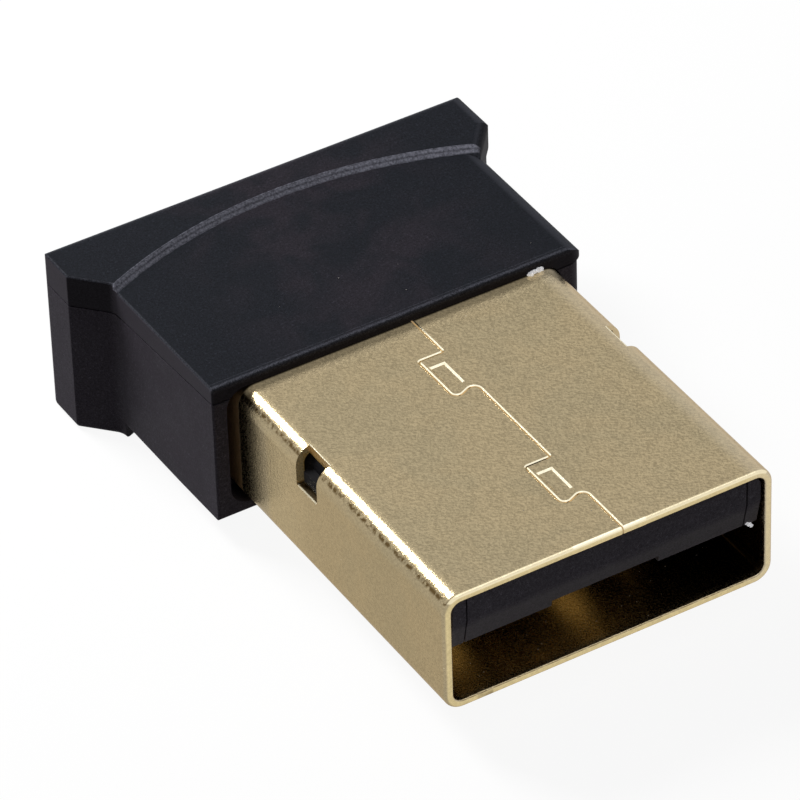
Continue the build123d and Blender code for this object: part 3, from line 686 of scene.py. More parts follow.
def shell_finish(settings):
    """Plated sheet: wrinkled faces with painted relief shade, sheared edges painted lighter, painted
    highlights and shade on the bends, rim, seam and windows, a painted reflection inside the mouth, a nick,
    painted shade in the pocket and a painted glow beside the lid.
    """
    finish = Finish("Plated sheet", Specular_Tint=settings.tint, Emission_Strength=1.0)
    tree = finish.tree
    across = unsigned(tree, finish.x)
    along = unsigned(tree, finish.tilt_y)
    window = window_mask(finish, across)
    inner = inner_mask(finish, across)
    nick = nick_mask(finish)
    near_seam = fade(tree, across, SEAM_HALF, SEAM_HALF + 0.05 * MM)
    slopes = between(tree, finish.tilt_z, 0.5, 0.9, 0.04)
    broken_edges = spread(tree, finish.z, PLUG_TOP - 0.08 * MM, PLUG_TOP - 0.07 * MM)
    pocket = spread(tree, finish.y, FRONT_Y - 0.03 * MM, FRONT_Y + 0.05 * MM)
    # Painted sheen: the top gets paler towards its right edge
    right = spread(tree, finish.x, 4.9 * MM, 5.5 * MM, 0.0, 0.3, smooth=True)
    burnish = noise(tree, finish.place, 9000.0, 2.0, 0.6)
    gold, peel = gold_tone(finish, settings)
    tone = lay(
        tree,
        gold,
        (
            # Sheared edges, partly painted reflected light, and the windows' cut faces with painted shade and
            # highlights
            times(tree, most(tree, spread(tree, along, 0.75, 0.95), window), 0.85),
            cut_tone(finish, settings, across, window, burnish),
        ),
        # Painted shade along the bends
        (bend_shade_lines(finish, across), settings.shadow),
        # Painted sheen on the right bend
        (times(tree, between(tree, finish.tilt_x, 0.28, 0.6, 0.1), 0.5), settings.right_bend_sheen),
        # Painted sheen on the right side and near the right edge
        (most(tree, right, spread(tree, finish.tilt_x, 0.5, 0.8)), settings.right_side_sheen),
        # Painted highlight on the mouth's rim
        (lip_highlight_mask(finish, along), settings.lip_highlight),
        # Painted highlights on the seam's slopes
        (times(tree, near_seam, slopes, broken_edges), settings.seam),
        # Painted reflection and shade inside the mouth
        (inner, inner_glow_tone(finish, settings)),
        (times(tree, nick, 0.7), settings.nick),
        # Painted shade on the sheet inside the pocket
        (pocket, pocket_shade_tone(finish, settings, burnish)),
        finish.speck_layer(0.5 * MM, 0.1, 0.6, settings.speck),
    )
    # Beside the lid the sheet is made dull and, with the rear of its sides, gets a painted glow against the
    # lid's shadow and dark reflections
    beside = spread(tree, finish.y, FRONT_Y - 0.75 * MM, FRONT_Y - 0.15 * MM)
    beside = times(tree, beside, spread(tree, finish.tilt_z, 0.7, 0.95), 0.3)
    on_sides = between(tree, finish.y, FRONT_Y - 1.7 * MM, FRONT_Y - 0.62 * MM, 0.15 * MM)
    on_sides = times(tree, on_sides, fade(tree, finish.tilt_z, 0.2, 0.5), 0.3)
    dull = most(tree, beside, on_sides, times(tree, pocket, 0.8), times(tree, window, 0.6))
    rough = spread(tree, peel["Relief shade"], 0, 1, settings.roughness + 0.06, settings.roughness - 0.05)
    rough = add(tree, rough, times(tree, pocket, 0.26))
    rolled = times(tree, between(tree, finish.tilt_z, 0.5, 0.97, 0.04), 0.06)
    finish.feed(
        Base_Color=tone,
        Roughness=less(tree, rough, rolled),
        Metallic=less(tree, 1.0, dull),
        # Painted glow
        Emission_Color=sheet_glow(finish, settings, tone, beside, pocket, near_seam, along),
    )
    height = times(tree, peel["Height"], spread(tree, inner, 0, 1, 1.0, 0.15))
    finish.bump(less(tree, height, times(tree, nick, 2.0)), settings.ripple_height)
    return finish.material


def contact_finish(settings):
    """Rolled contact strip: fine lines along it."""
    finish = Finish("Contact gold", Specular_Tint=settings.strip_tint, Metallic=1.0)
    tree = finish.tree
    tone, peel = gold_tone(finish, settings)
    stretched = mapped(tree, finish.place, Scale=(1.0, 0.04, 1.0))
    lines = spread(tree, noise(tree, stretched, 22000.0, 2.0, 0.6), 0.35, 0.65)
    rough = spread(tree, lines, 0, 1, 0.16, 0.3)
    finish.feed(Base_Color=shade(tree, tone, lines, 0.85, 1.2), Roughness=rough)
    finish.bump(add(tree, lines, peel["Height"]), 0.002 * MM)
    return finish.material


# Plastic


def plastic_tone(finish, settings, first, second, patch_size):
    """Speckled drifting plastic: its colour and its grain."""
    tree = finish.tree
    drift = finish.use("drift", patch_size=patch_size, first=first, second=second)
    grain = finish.use("grain", grain_size=settings.grain)
    tone = shade(tree, drift["Colour"], grain["Speckle"], 0.5, 1.5)
    return shade(tree, tone, grain["Peaks"], 1.0, 1.8), grain


def flank_shade_layer(finish, settings, grain):
    """Layer of the base's colour on the lid's upright faces: full on the left, and darkened into painted
    shade on the others.
    """
    tree = finish.tree
    upright = fade(tree, unsigned(tree, finish.tilt_z), 0.3, 0.75)
    side = spread(tree, finish.tilt_x, -0.95, -0.85, 1.0, 0.4)
    speckle = spread(tree, grain["Speckle"], 0, 1, 0.6, 1.4)
    return upright, shade(tree, settings.base, times(tree, side, speckle), 0.0, 1.0)


def panel_rim_highlight(finish):
    """Painted highlight: thin line along the left side and the left flare of the lid's upper face."""
    tree = finish.tree
    side = times(
        tree,
        fade(tree, finish.x, -BODY_HALF + 0.02 * MM, -BODY_HALF + 0.05 * MM),
        spread(tree, finish.z, PANEL_TOP - 0.1 * MM, PANEL_TOP - 0.07 * MM),
        fade(tree, finish.y, FLARE_Y - 0.3 * MM, FLARE_Y - 0.25 * MM),
    )
    out = CAP_HALF - BODY_HALF
    run = math.hypot(out, FLARE_RUN)
    inward = add(tree, times(tree, finish.x, FLARE_RUN / run), times(tree, finish.y, out / run))
    edge = (FLARE_Y * out - BODY_HALF * FLARE_RUN) / run
    flare = times(
        tree,
        fade(tree, inward, edge + 0.04 * MM, edge + 0.07 * MM),
        between(tree, finish.y, FLARE_Y, FLARE_Y + FLARE_RUN, 0.02 * MM),
        spread(tree, finish.tilt_z, 0.6, 0.9),
    )
    return most(tree, side, flare)


def lid_edge_highlights(finish, grain, wear):
    """Painted highlights along the lid's front edge and its left rim."""
    tree = finish.tree
    front = times(
        tree,
        between(tree, finish.y, FRONT_Y, FRONT_Y + 0.16 * MM, 0.05 * MM),
        spread(tree, finish.z, PANEL_TOP - 0.2 * MM, PANEL_TOP - 0.1 * MM),
        grain["Speckle"],
        0.75,
    )
    return most(tree, front, times(tree, panel_rim_highlight(finish), wear["Crumbs"], 0.42))


def witness_line(finish, grain):
    """Faint line of the mould just behind the lid's front edge."""
    tree = finish.tree
    return times(
        tree,
        between(tree, finish.y, FRONT_Y + 0.25 * MM, FRONT_Y + 0.285 * MM, 0.01 * MM),
        spread(tree, finish.z, PANEL_TOP - 0.03 * MM, PANEL_TOP - 0.01 * MM),
        grain["Speckle"],
        0.3,
    )


def ridge_scuff_and_highlight_mask(finish, settings):
    """Speckled band along the arc-shaped ridge at the front of the raised crescent, partly scuffing and
    partly a painted highlight on its front-facing slope.
    """
    tree = finish.tree
    rise = settings.ridge_apex - settings.ridge_start
    radius = (RIDGE_HALF**2 + rise**2) / (2 * rise)
    back = less(tree, finish.y, settings.ridge_apex - radius)
    square = add(tree, times(tree, finish.x, finish.x), times(tree, back, back))
    reach = less(tree, maths(tree, "SQRT", square), radius)
    wobble = times(tree, less(tree, noise(tree, finish.place, 5000.0, 2.0), 0.5), 0.05 * MM)
    reach = add(tree, reach, wobble)
    band = between(tree, reach, 0.0, settings.ridge_width, 0.03 * MM)
    valley = between(tree, reach, 0.4 * settings.ridge_width, 0.6 * settings.ridge_width, 0.02 * MM)
    band = less(tree, band, times(tree, valley, 0.55))
    level = spread(tree, finish.z, PANEL_TOP - 0.02 * MM, PANEL_TOP + 0.01 * MM)
    crumbs = spread(tree, noise(tree, finish.place, 13000.0, 3.0, 0.7), 0.36, 0.62, 0.3, 0.9)
    return times(tree, band, level, crumbs)


def housing_finish(name, settings, first, second, wear_amount, is_lid):
    """Matte moulded housing: cloudy patches, grain, specks of dust, rough lighter edges of wear and painted
    sheen, and on the lid painted highlights and shade.
    """
    finish = Finish(name, Specular_IOR_Level=0.03)
    tree = finish.tree
    if is_lid:
        second = blend(tree, between(tree, finish.x, *PANEL_CLOUD, 1.8 * MM), first, second)
    tone, grain = plastic_tone(finish, settings, first, second, settings.patch)
    wear = finish.use("wear", facing=finish.facing, grain_size=0.06 * MM)
    # Painted sheen where the upper edges round over towards the right
    rounded = times(
        tree,
        between(tree, finish.tilt_x, 0.2, 0.5, 0.1),
        spread(tree, finish.z, PANEL_TOP - 0.45 * MM, PANEL_TOP - 0.2 * MM),
        0.2,
    )
    wear_and_sheen = most(tree, times(tree, wear["Mask"], wear_amount), rounded)
    if is_lid:
        # Painted highlights along the lid's front edge and left rim
        wear_and_sheen = most(tree, wear_and_sheen, lid_edge_highlights(finish, grain, wear))
        tone = lay(
            tree,
            tone,
            flank_shade_layer(finish, settings, grain),
            (wear_and_sheen, settings.wear_and_sheen),
            (witness_line(finish, grain), settings.wear_and_sheen),
            (ridge_scuff_and_highlight_mask(finish, settings), settings.ridge),
        )
    else:
        tone = blend(tree, wear_and_sheen, tone, settings.wear_and_sheen)
    tone = lay(tree, tone, finish.speck_layer(0.7 * MM, 0.16, 0.35, settings.speck))
    rough = spread(tree, grain["Height"], 0.3, 0.7, settings.roughness - 0.06, settings.roughness + 0.1)
    finish.feed(Base_Color=tone, Roughness=add(tree, rough, times(tree, wear_and_sheen, 0.2)))
    finish.bump(add(tree, grain["Height"], times(tree, wear_and_sheen, 0.6)), settings.grain_height)
    return finish.material


def carrier_finish(settings):
    """Insulator of the contacts: blue-black, with a painted highlight low down on its front and painted shade
    towards its rear.
    """
    finish = Finish("Carrier plastic", Specular_IOR_Level=0.02)
    tree = finish.tree
    tone, grain = plastic_tone(finish, settings, settings.carrier, settings.carrier, 1.3 * MM)
    cloudy = noise(tree, finish.place, 900.0, 3.0, 0.6)
    height = add(tree, finish.z, times(tree, less(tree, cloudy, 0.5), 0.5 * MM))
    # Painted highlight low down on the carrier's front, with a wavy upper border
    scuffed = fade(tree, height, LOWER_HIGHLIGHT_Z - 0.25 * MM, LOWER_HIGHLIGHT_Z + 0.1 * MM, smooth=True)
    wear = finish.use("wear", facing=finish.facing, grain_size=0.05 * MM)
    tone = lay(
        tree,
        tone,
        (scuffed, shade(tree, settings.carrier_highlight, grain["Speckle"], 0.75, 1.3)),
        (times(tree, wear["Mask"], 0.08), settings.wear_and_sheen),
    )
    # Painted shade: the carrier gets darker deeper inside the plug
    depth = spread(tree, finish.y, CARRIER_LOW.y + 3.0 * MM, CARRIER_LOW.y + 5.0 * MM, 1.0, 0.05)
    tone = shade(tree, tone, depth, 0.0, 1.0)
    tone = lay(tree, tone, finish.speck_layer(0.45 * MM, 0.2, 0.5, settings.carrier_speck))
    finish.feed(Base_Color=tone, Roughness=spread(tree, grain["Height"], 0.3, 0.7, 0.45, 0.6))
    finish.bump(grain["Height"], 0.002 * MM)
    return finish.material


# Board and its parts


def tin_tone(finish, settings):
    """Frosty tin: its colour and a grainy value."""
    tree = finish.tree
    crystals = noise(tree, finish.place, 11000.0, 3.0, 0.65)
    return shade(tree, settings.tin, spread(tree, crystals, 0.35, 0.65), 0.8, 1.15), crystals


def speckled(finish, tone, scale, low, high):
    """Sintered, moulded or crumbly matter: its colour and its dots."""
    dots = noise(finish.tree, finish.place, scale, 3.0, 0.7)
    return shade(finish.tree, tone, spread(finish.tree, dots, 0.3, 0.7), low, high), dots


def off_middle(tree, count):
    """Distance from the middle of the nearest lane, where the whole parts of a value count lanes."""
    return unsigned(tree, less(tree, maths(tree, "FRACT", count), 0.5))


def across_box(finish, name, axis):
    """Distance from the middle of a node's box along an axis, as a share of its half length."""
    low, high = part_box(name)
    value = (finish.x, finish.y, finish.z)[axis]
    middle, half = (low[axis] + high[axis]) / 2, (high[axis] - low[axis]) / 2
    return over(finish.tree, unsigned(finish.tree, less(finish.tree, value, middle)), half)


def up_box(finish, name, low_share, high_share):
    """0 below one share of the height of a node's box, and 1 above another."""
    low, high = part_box(name)
    rise = high.z - low.z
    return spread(finish.tree, finish.z, low.z + low_share * rise, low.z + high_share * rise)


def solder_finish(settings):
    """Flowed solder: bright, with faint frosty crystals and a little flux at its foot."""
    finish = Finish("Flowed solder", Metallic=1.0)
    tree = finish.tree
    tone, crystals = tin_tone(finish, settings)
    flux = spread(tree, finish.z, BOARD_HIGH.z, BOARD_HIGH.z + 0.12 * MM, 0.6, 0.0)
    tone = blend(tree, flux, tone, settings.flux)
    finish.feed(Base_Color=tone, Roughness=spread(tree, crystals, 0.3, 0.7, 0.18, 0.4))
    finish.bump(crystals, 0.006 * MM)
    return finish.material


def board_finish(settings):
    """Varnished laminate: tracks that show through, a ground area, vias and a bare woven edge."""
    finish = Finish("Varnished board", Specular_IOR_Level=0.5)
    tree = finish.tree
    level = spread(tree, unsigned(tree, finish.tilt_z), 0.6, 0.9)
    bent = times(tree, noise(tree, finish.place, 260.0, 1.0), 5.0)
    lane = off_middle(tree, add(tree, over(tree, finish.x, settings.track_pitch), bent))
    poured = spread(tree, noise(tree, finish.place, 420.0, 1.0), 0.54, 0.56)
    copper = most(tree, fade(tree, lane, 0.13, 0.17), poured)
    dots = {"Vector": finish.place, "Scale": 950.0}
    vias = add_node(tree, "ShaderNodeTexVoronoi", dots).outputs["Distance"]
    weave = noise(tree, finish.place, 7000.0, 2.0, 0.6)
    varnish = blend(tree, copper, settings.mask, settings.track)
    varnish = lay(
        tree,
        shade(tree, varnish, spread(tree, weave, 0.3, 0.7), 0.85, 1.15),
        (fade(tree, vias, 0.11, 0.13), settings.ring),
        (fade(tree, vias, 0.05, 0.06), settings.drill),
    )
    threads = {"Vector": finish.place, "Scale": 2600.0, "Distortion": 2.0}
    cloth = add_node(tree, "ShaderNodeTexWave", threads, bands_direction="Z").outputs["Fac"]
    bare = shade(tree, settings.laminate, cloth, 0.6, 1.2)
    rough = spread(tree, level, 0, 1, 0.75, 0.28)
    finish.feed(Base_Color=blend(tree, level, bare, varnish), Roughness=rough)
    finish.bump(add(tree, copper, times(tree, weave, 0.3)), 0.012 * MM)
    return finish.material


def chip_finish(name, settings):
    """Moulded package: matt top with a polished frame, tinned terminals low down at its edge."""
    finish = Finish("Package of " + name, Specular_IOR_Level=0.4)
    tree = finish.tree
    rim = most(tree, across_box(finish, name, 0), across_box(finish, name, 1))
    top = spread(tree, finish.tilt_z, 0.6, 0.9)
    polished = times(tree, top, spread(tree, rim, 0.9, 0.93), 0.4)
    body, grains = speckled(finish, settings.epoxy, 16000.0, 0.6, 1.7)
    body = blend(tree, polished, body, settings.polish)
    lanes_x = off_middle(tree, over(tree, finish.x, settings.lead_pitch))
    lanes_y = off_middle(tree, over(tree, finish.y, settings.lead_pitch))
    sideways = spread(tree, unsigned(tree, finish.tilt_x), 0.5, 0.8)
    lanes = add(tree, times(tree, sideways, lanes_y), times(tree, less(tree, 1.0, sideways), lanes_x))
    leads = times(tree, fade(tree, lanes, 0.26, 0.3), less(tree, 1.0, up_box(finish, name, 0.18, 0.22)))
    tin, crystals = tin_tone(finish, settings)
    finish.feed(
        Base_Color=blend(tree, leads, body, tin),
        Metallic=leads,
        Roughness=spread(tree, add(tree, grains, times(tree, top, 0.15)), 0.3, 0.8, 0.42, 0.62),
    )
    finish.bump(add(tree, grains, times(tree, crystals, 0.2)), 0.004 * MM)
    return finish.material


def crystal_finish(settings):
    """Crystal: brushed metal lid with a welded rim on a dark ceramic tray."""
    finish = Finish("Crystal can")
    tree = finish.tree
    rim = most(tree, across_box(finish, "crystal", 0), across_box(finish, "crystal", 1))
    lines = noise(tree, mapped(tree, finish.place, Scale=(1.0, 0.05, 1.0)), 16000.0, 2.0, 0.6)
    metal = shade(tree, settings.can, spread(tree, lines, 0.3, 0.7), 0.8, 1.15)
    metal = blend(tree, times(tree, between(tree, rim, 0.8, 0.88, 0.01), 0.5), metal, settings.weld)
    can = up_box(finish, "crystal", 0.5, 0.56)
    ceramic = shade(tree, settings.tray, noise(tree, finish.place, 14000.0, 2.0), 0.6, 1.4)
    rough = spread(tree, can, 0, 1, 0.6, 0.3)
    finish.feed(Base_Color=blend(tree, can, ceramic, metal), Metallic=can, Roughness=rough)
    finish.bump(lines, 0.002 * MM)
    return finish.material


def chip_part_finish(name, settings, body):
    """Small two-ended part: sintered body between tinned ends."""
    finish = Finish("Body of " + name, Specular_IOR_Level=0.4)
    tree = finish.tree
    low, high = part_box(name)
    axis = 0 if high.x - low.x > high.y - low.y else 1
    wavy = times(tree, less(tree, noise(tree, finish.place, 5000.0, 2.0), 0.5), 0.12)
    ends = spread(tree, add(tree, across_box(finish, name, axis), wavy), 0.55, 0.6)
    tin, crystals = tin_tone(finish, settings)
    sintered, dots = speckled(finish, body, 18000.0, 0.75, 1.25)
    finish.feed(
        Base_Color=blend(tree, ends, sintered, tin),
        Metallic=ends,
        Roughness=spread(tree, ends, 0, 1, 0.5, 0.34),
    )
    finish.bump(add(tree, dots, crystals), 0.003 * MM)
    return finish.material


def antenna_finish(settings):
    """Ceramic antenna: white body with printed silver meanders and tinned ends."""
    finish = Finish("Antenna ceramic", Specular_IOR_Level=0.4)
    tree = finish.tree
    lane = maths(tree, "FRACT", over(tree, finish.x, settings.meander_pitch))
    printed = times(
        tree,
        between(tree, lane, 0.3, 0.7, 0.03),
        fade(tree, across_box(finish, "chip_antenna", 1), 0.72, 0.75),
        spread(tree, finish.tilt_z, 0.6, 0.9),
    )
    metal = most(tree, printed, spread(tree, across_box(finish, "chip_antenna", 0), 0.82, 0.84))
    tin, crystals = tin_tone(finish, settings)
    body, dots = speckled(finish, settings.white, 14000.0, 0.88, 1.08)
    rough = spread(tree, dots, 0.3, 0.7, 0.32, 0.5)
    finish.feed(Base_Color=blend(tree, metal, body, tin), Metallic=metal, Roughness=rough)
    finish.bump(add(tree, dots, crystals, metal), 0.004 * MM)
    return finish.material


def lamp_finish(settings):
    """Status lamp: cloudy resin lens over a pale body, tinned at both ends."""
    finish = Finish("Lamp resin", Specular_IOR_Level=0.5, Subsurface_Weight=0.2, Coat_Roughness=0.1)
    tree = finish.tree
    ends = spread(tree, across_box(finish, "status_led", 1), 0.78, 0.82)
    lens = up_box(finish, "status_led", 0.4, 0.46)
    cloudy = noise(tree, finish.place, 3200.0, 2.0)
    middle = add(tree, across_box(finish, "status_led", 0), across_box(finish, "status_led", 1))
    tin, crystals = tin_tone(finish, settings)
    tone = lay(
        tree,
        settings.lamp_body,
        (lens, shade(tree, settings.lamp, cloudy, 0.8, 1.2)),
        (times(tree, fade(tree, middle, 0.28, 0.36), lens, 0.6), settings.die),
        (ends, tin),
    )
    finish.feed(
        Base_Color=tone,
        Metallic=ends,
        Roughness=spread(tree, most(tree, ends, cloudy), 0, 1, 0.16, 0.36),
        Coat_Weight=times(tree, lens, 0.5),
    )
    finish.bump(add(tree, cloudy, times(tree, crystals, ends)), 0.003 * MM)
    return finish.material


def dress(names, material):
    """Gives the material to CAD nodes."""
    for name in names:
        slots = NODES[name].data.materials
        slots.clear()
        slots.append(material)


# Loose pieces


def loose_finish(name, tone, low, high, glow=0.0):
    """Torn or crumbly matter: uneven in tone and rough all over, with a painted glow of its own colour at the
    given strength.
    """
    finish = Finish(name, Specular_IOR_Level=0.3, Emission_Strength=glow)
    uneven, crumbs = speckled(finish, tone, 24000.0, low, high)
    rough = spread(finish.tree, crumbs, 0.3, 0.7, 0.6, 0.9)
    finish.feed(Base_Color=uneven, Emission_Color=uneven, Roughness=rough)
    finish.bump(crumbs, 0.004 * MM)
    return finish.material


def place_piece(name, model, material, smooth):
    """Turns a working mesh into a new piece that rides with the adapter."""
    mesh = bpy.data.meshes.new(name)
    model.to_mesh(mesh)
    model.free()
    for face in mesh.polygons:
        face.use_smooth = smooth
    mesh.materials.append(material)
    piece = bpy.data.objects.new(name, mesh)
    bpy.context.scene.collection.objects.link(piece)
    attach(piece, "root")


def add_crumb(model, centre, size, chance):
    """Adds one crumpled closed crumb to the mesh."""
    lump_depth, lump_scale, far = 0.75, 3.1, 50
    made = bmesh.ops.create_icosphere(model, subdivisions=2, radius=0.5)
    turn = Matrix.Rotation(chance.uniform(0, math.tau), 3, "Z")
    offset = Vector((chance.uniform(0, far), chance.uniform(0, far), chance.uniform(0, far)))
    for vertex in made["verts"]:
        lumps = 1 + lump_depth * smooth_noise.noise(vertex.co * lump_scale + offset)
        vertex.co = (turn @ (vertex.co * lumps)) * Vector(size) + centre


class OBJECT_OT_adapter_stage(bpy.types.Operator):
    """Floor, sky, lamps and camera"""

    bl_idname = "object.adapter_stage"
    bl_label = "Stage"

    def execute(self, context):
        scene = context.scene
        studio = scene.adapter_studio
        scene.view_settings.view_transform = "Standard"
        self.make_sky(scene, studio)
        self.make_floor(scene, studio)
        self.make_camera(scene, studio)
        self.make_lamp(scene, "key_lamp", studio.key_place, studio.key_size, studio.key)
        self.make_lamp(scene, "top_lamp", studio.top_place, studio.top_size, studio.top)
        return {"FINISHED"}

    def white_where_seen(self, tree):
        """1 for rays that look at the surroundings, straight, in a reflection or through something."""
        ray = add_node(tree, "ShaderNodeLightPath").outputs
        return most(tree, ray["Is Camera Ray"], ray["Is Glossy Ray"], ray["Is Transmission Ray"])

    def make_sky(self, scene, studio):
        """White where it is seen, and softer as light."""
        world = bpy.data.worlds.new("Studio sky")
        scene.world = world
        world.use_nodes = True
        tree = world.node_tree
        tree.nodes.clear()
        strength = spread(tree, self.white_where_seen(tree), 0, 1, studio.sky, 1.0)
        sky = add_node(tree, "ShaderNodeBackground", {"Color": (1, 1, 1), "Strength": strength})
        out = add_node(tree, "ShaderNodeOutputWorld")
        tree.links.new(sky.outputs[0], out.inputs["Surface"])

    def make_floor(self, scene, studio):
        """Large plain floor, white where it is seen, that keeps a light shadow."""
        mesh = bpy.data.meshes.new("floor")
        turns = ((-1, -1), (1, -1), (1, 1), (-1, 1))
        corners = [(x * FLOOR_HALF, y * FLOOR_HALF, FLOOR_Z) for x, y in turns]
        mesh.from_pydata(corners, [], [(0, 1, 2, 3)])
        floor = bpy.data.objects.new("floor", mesh)
        scene.collection.objects.link(floor)
        material = bpy.data.materials.new("Floor paper")
        material.use_nodes = True
        tree = material.node_tree
        tree.nodes.clear()
        seen = self.white_where_seen(tree)
        tone = blend(tree, seen, studio.bounce, studio.floor)
        paper = add_node(tree, "ShaderNodeBsdfDiffuse", {"Color": tone})
        white = add_node(tree, "ShaderNodeEmission", {"Color": (1, 1, 1), "Strength": 1.0})
        factor = times(tree, seen, studio.glow)
        mix = add_node(tree, "ShaderNodeMixShader", {0: factor, 1: paper.outputs[0], 2: white.outputs[0]})
        out = add_node(tree, "ShaderNodeOutputMaterial")
        tree.links.new(mix.outputs[0], out.inputs["Surface"])
        mesh.materials.append(material)

    def make_lamp(self, scene, name, place, size, power):
        """A square soft lamp that faces the middle of the adapter."""
        outward = Vector(place).normalized()
        data = bpy.data.lights.new(name, "AREA")
        data.size = size
        data.energy = power
        lamp = bpy.data.objects.new(name, data)
        scene.collection.objects.link(lamp)
        lamp.location = (CAD_BOX[0] + CAD_BOX[1]) / 2 + outward * LAMP_DISTANCE
        lamp.rotation_mode = "QUATERNION"
        lamp.rotation_quaternion = (-outward).to_track_quat("-Z", "Y")

    def make_camera(self, scene, studio):
        """Camera at the photograph's angle."""
        data = bpy.data.cameras.new("camera")
        data.lens = studio.lens
        data.sensor_width = SENSOR_WIDTH
        data.clip_start, data.clip_end = CLIP_NEAR, CLIP_FAR
        camera = bpy.data.objects.new("camera", data)
        scene.collection.objects.link(camera)
        flat = math.cos(studio.elevation)
        back = Vector(
            (math.sin(studio.azimuth) * flat, -math.cos(studio.azimuth) * flat, math.sin(studio.elevation))
        )
        camera.location = Vector(studio.aim) + back * studio.distance
        camera.rotation_mode = "QUATERNION"
        turn = (-back).to_track_quat("-Z", "Y")
        camera.rotation_quaternion = turn @ Matrix.Rotation(studio.roll, 4, "Z").to_quaternion()
        scene.camera = camera


class OBJECT_OT_adapter_plug(bpy.types.Operator):
    """Plug shell, contacts and the carrier that holds them"""

    bl_idname = "object.adapter_plug"
    bl_label = "Plug, contacts and carrier"

    def execute(self, context):
        plating = context.scene.adapter_plating
        dress(["plug_shell"], shell_finish(plating))
        dress([name for name in NODES if name.endswith("_contact")], contact_finish(plating))
        dress(["contact_carrier"], carrier_finish(context.scene.adapter_housing))
        return {"FINISHED"}


class OBJECT_OT_adapter_housing(bpy.types.Operator):
    """Housing base and lid"""

    bl_idname = "object.adapter_housing"
    bl_label = "Housing"

    def execute(self, context):
        housing = context.scene.adapter_housing
        lid = housing_finish("Lid plastic", housing, housing.lid, housing.lid_patch, 0.3, True)
        base = housing_finish("Base plastic", housing, housing.base, housing.base_patch, 0.16, False)
        dress(["housing_lid"], lid)
        dress(["housing_base"], base)
        return {"FINISHED"}


class OBJECT_OT_adapter_board(bpy.types.Operator):
    """Circuit board, its parts and the solder"""

    bl_idname = "object.adapter_board"
    bl_label = "Board and its parts"

    def execute(self, context):
        board = context.scene.adapter_board
        dress(["circuit_board"], board_finish(board))
        dress(["contact_solder", "shell_solder"], solder_finish(board))
        dress(["crystal"], crystal_finish(board))
        dress(["chip_antenna"], antenna_finish(board))
        dress(["status_led"], lamp_finish(board))
        for name in ("radio_chip", "voltage_regulator"):
            dress([name], chip_finish(name, board))
        bodies = {"ferrite_bead": board.grey, "antenna_inductor": board.grey, "led_resistor": board.epoxy}
        for name in NODES:
            if name.endswith("_capacitor") or name.startswith("crystal_load_capacitor"):
                bodies[name] = board.tan
        for name, body in bodies.items():
            dress([name], chip_part_finish(name, board, body))
        return {"FINISHED"}


class OBJECT_OT_adapter_flash(bpy.types.Operator):
    """Torn moulding flash at the lid's front and a burr on the carrier"""

    bl_idname = "object.adapter_flash"
    bl_label = "Flash and burr"

    def execute(self, context):
        loose = context.scene.adapter_loose
        # The pale flash gets a painted glow so that it shows bright
        pale = loose_finish("Pale flash", loose.pale, 0.75, 1.25, 0.35)
        chance = random.Random(loose.seed)
        flash = self.tear(LID_FLASH, FRONT_Y - 0.02 * MM, 0.14 * MM, 0.17 * MM, chance)
        place_piece("lid_flash", flash, pale, False)
        burr = self.tear(CARRIER_BURR, CARRIER_LOW.y + 0.2 * MM, 0.1 * MM, 0.1 * MM, chance)
        place_piece("carrier_burr", burr, pale, False)
        return {"FINISHED"}

    def tear(self, crumbs, y, depth, height, chance):
        """Row of crumbs hanging together, as a working mesh."""
        model = bmesh.new()
        for x, z, width in crumbs:
            add_crumb(model, Vector((x * MM, y, z * MM)), (width * MM, depth, height), chance)
        return model


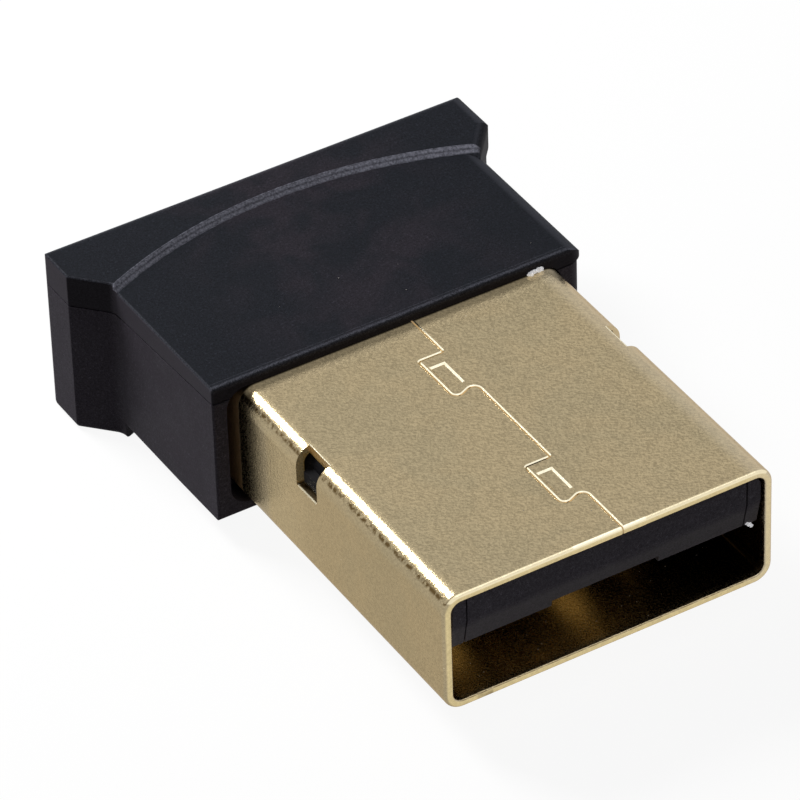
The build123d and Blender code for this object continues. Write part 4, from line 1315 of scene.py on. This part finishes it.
class OBJECT_OT_adapter_dust(bpy.types.Operator):
    """Dust flakes on the lid, on the plug and in its mouth"""

    bl_idname = "object.adapter_dust"
    bl_label = "Dust"

    def execute(self, context):
        loose = context.scene.adapter_loose
        chance = random.Random(loose.seed + 1)
        dust = loose_finish("Dust", loose.dust, 0.6, 1.3)
        lid = ((-6.2, 6.0), (FRONT_Y / MM + 0.3, 7.4), PANEL_TOP / MM)
        top = ((-5.2, 5.2), (MOUTH_Y / MM + 0.4, FRONT_Y / MM - 0.4), PLUG_TOP / MM)
        mouth = ((-5.2, 5.2), (MOUTH_Y / MM + 0.25, MOUTH_Y / MM + 2.6), (PLUG_LOW.z + SHEET) / MM)
        self.scatter("lid_dust", lid, loose.lid_flakes, loose.flake, dust, chance)
        self.scatter("plug_dust", top, loose.plug_flakes, loose.flake * 0.7, dust, chance)
        self.scatter("mouth_dust", mouth, loose.mouth_flakes, loose.flake, dust, chance)
        return {"FINISHED"}

    def scatter(self, name, area, count, size, material, chance):
        """Crumbs lying on a level area, given in millimetres, as one piece."""
        across, along, height = area
        smallest, flat, sunk = 0.012 * MM, 0.55, 0.14
        model = bmesh.new()
        for _ in range(count):
            width = size * chance.uniform(0.3, 1.0) ** 2 + smallest
            x, y = chance.uniform(*across) * MM, chance.uniform(*along) * MM
            centre = Vector((x, y, height * MM + sunk * width))
            add_crumb(model, centre, (width, width * chance.uniform(0.5, 1.0), width * flat), chance)
        place_piece(name, model, material, True)


class VIEW3D_PT_adapter(bpy.types.Panel):
    """Steps that dress the adapter"""

    bl_label = "Nano Radio Adapter"
    bl_space_type = "VIEW_3D"
    bl_region_type = "UI"
    bl_category = "Adapter"

    def draw(self, context):
        for operator in OPERATORS:
            self.layout.operator(operator.bl_idname)
        for name, group in SETTINGS.items():
            box = self.layout.box()
            for field in group.__annotations__:
                box.prop(getattr(context.scene, name), field)


SETTINGS = {
    "adapter_plating": PlatingSettings,
    "adapter_housing": HousingSettings,
    "adapter_board": BoardSettings,
    "adapter_loose": LooseSettings,
    "adapter_studio": StudioSettings,
}
OPERATORS = (
    OBJECT_OT_adapter_stage,
    OBJECT_OT_adapter_plug,
    OBJECT_OT_adapter_housing,
    OBJECT_OT_adapter_board,
    OBJECT_OT_adapter_flash,
    OBJECT_OT_adapter_dust,
)
CLASSES = (*SETTINGS.values(), *OPERATORS, VIEW3D_PT_adapter)


def register():
    for cls in CLASSES:
        bpy.utils.register_class(cls)
    for name, cls in SETTINGS.items():
        setattr(bpy.types.Scene, name, PointerProperty(type=cls))


def unregister():
    for name in SETTINGS:
        delattr(bpy.types.Scene, name)
    for cls in reversed(CLASSES):
        bpy.utils.unregister_class(cls)


def main():
    """Dresses the adapter."""
    register()
    bpy.ops.object.adapter_stage()
    bpy.ops.object.adapter_plug()
    bpy.ops.object.adapter_housing()
    bpy.ops.object.adapter_board()
    bpy.ops.object.adapter_flash()
    bpy.ops.object.adapter_dust()


if __name__ == "__main__":
    main()
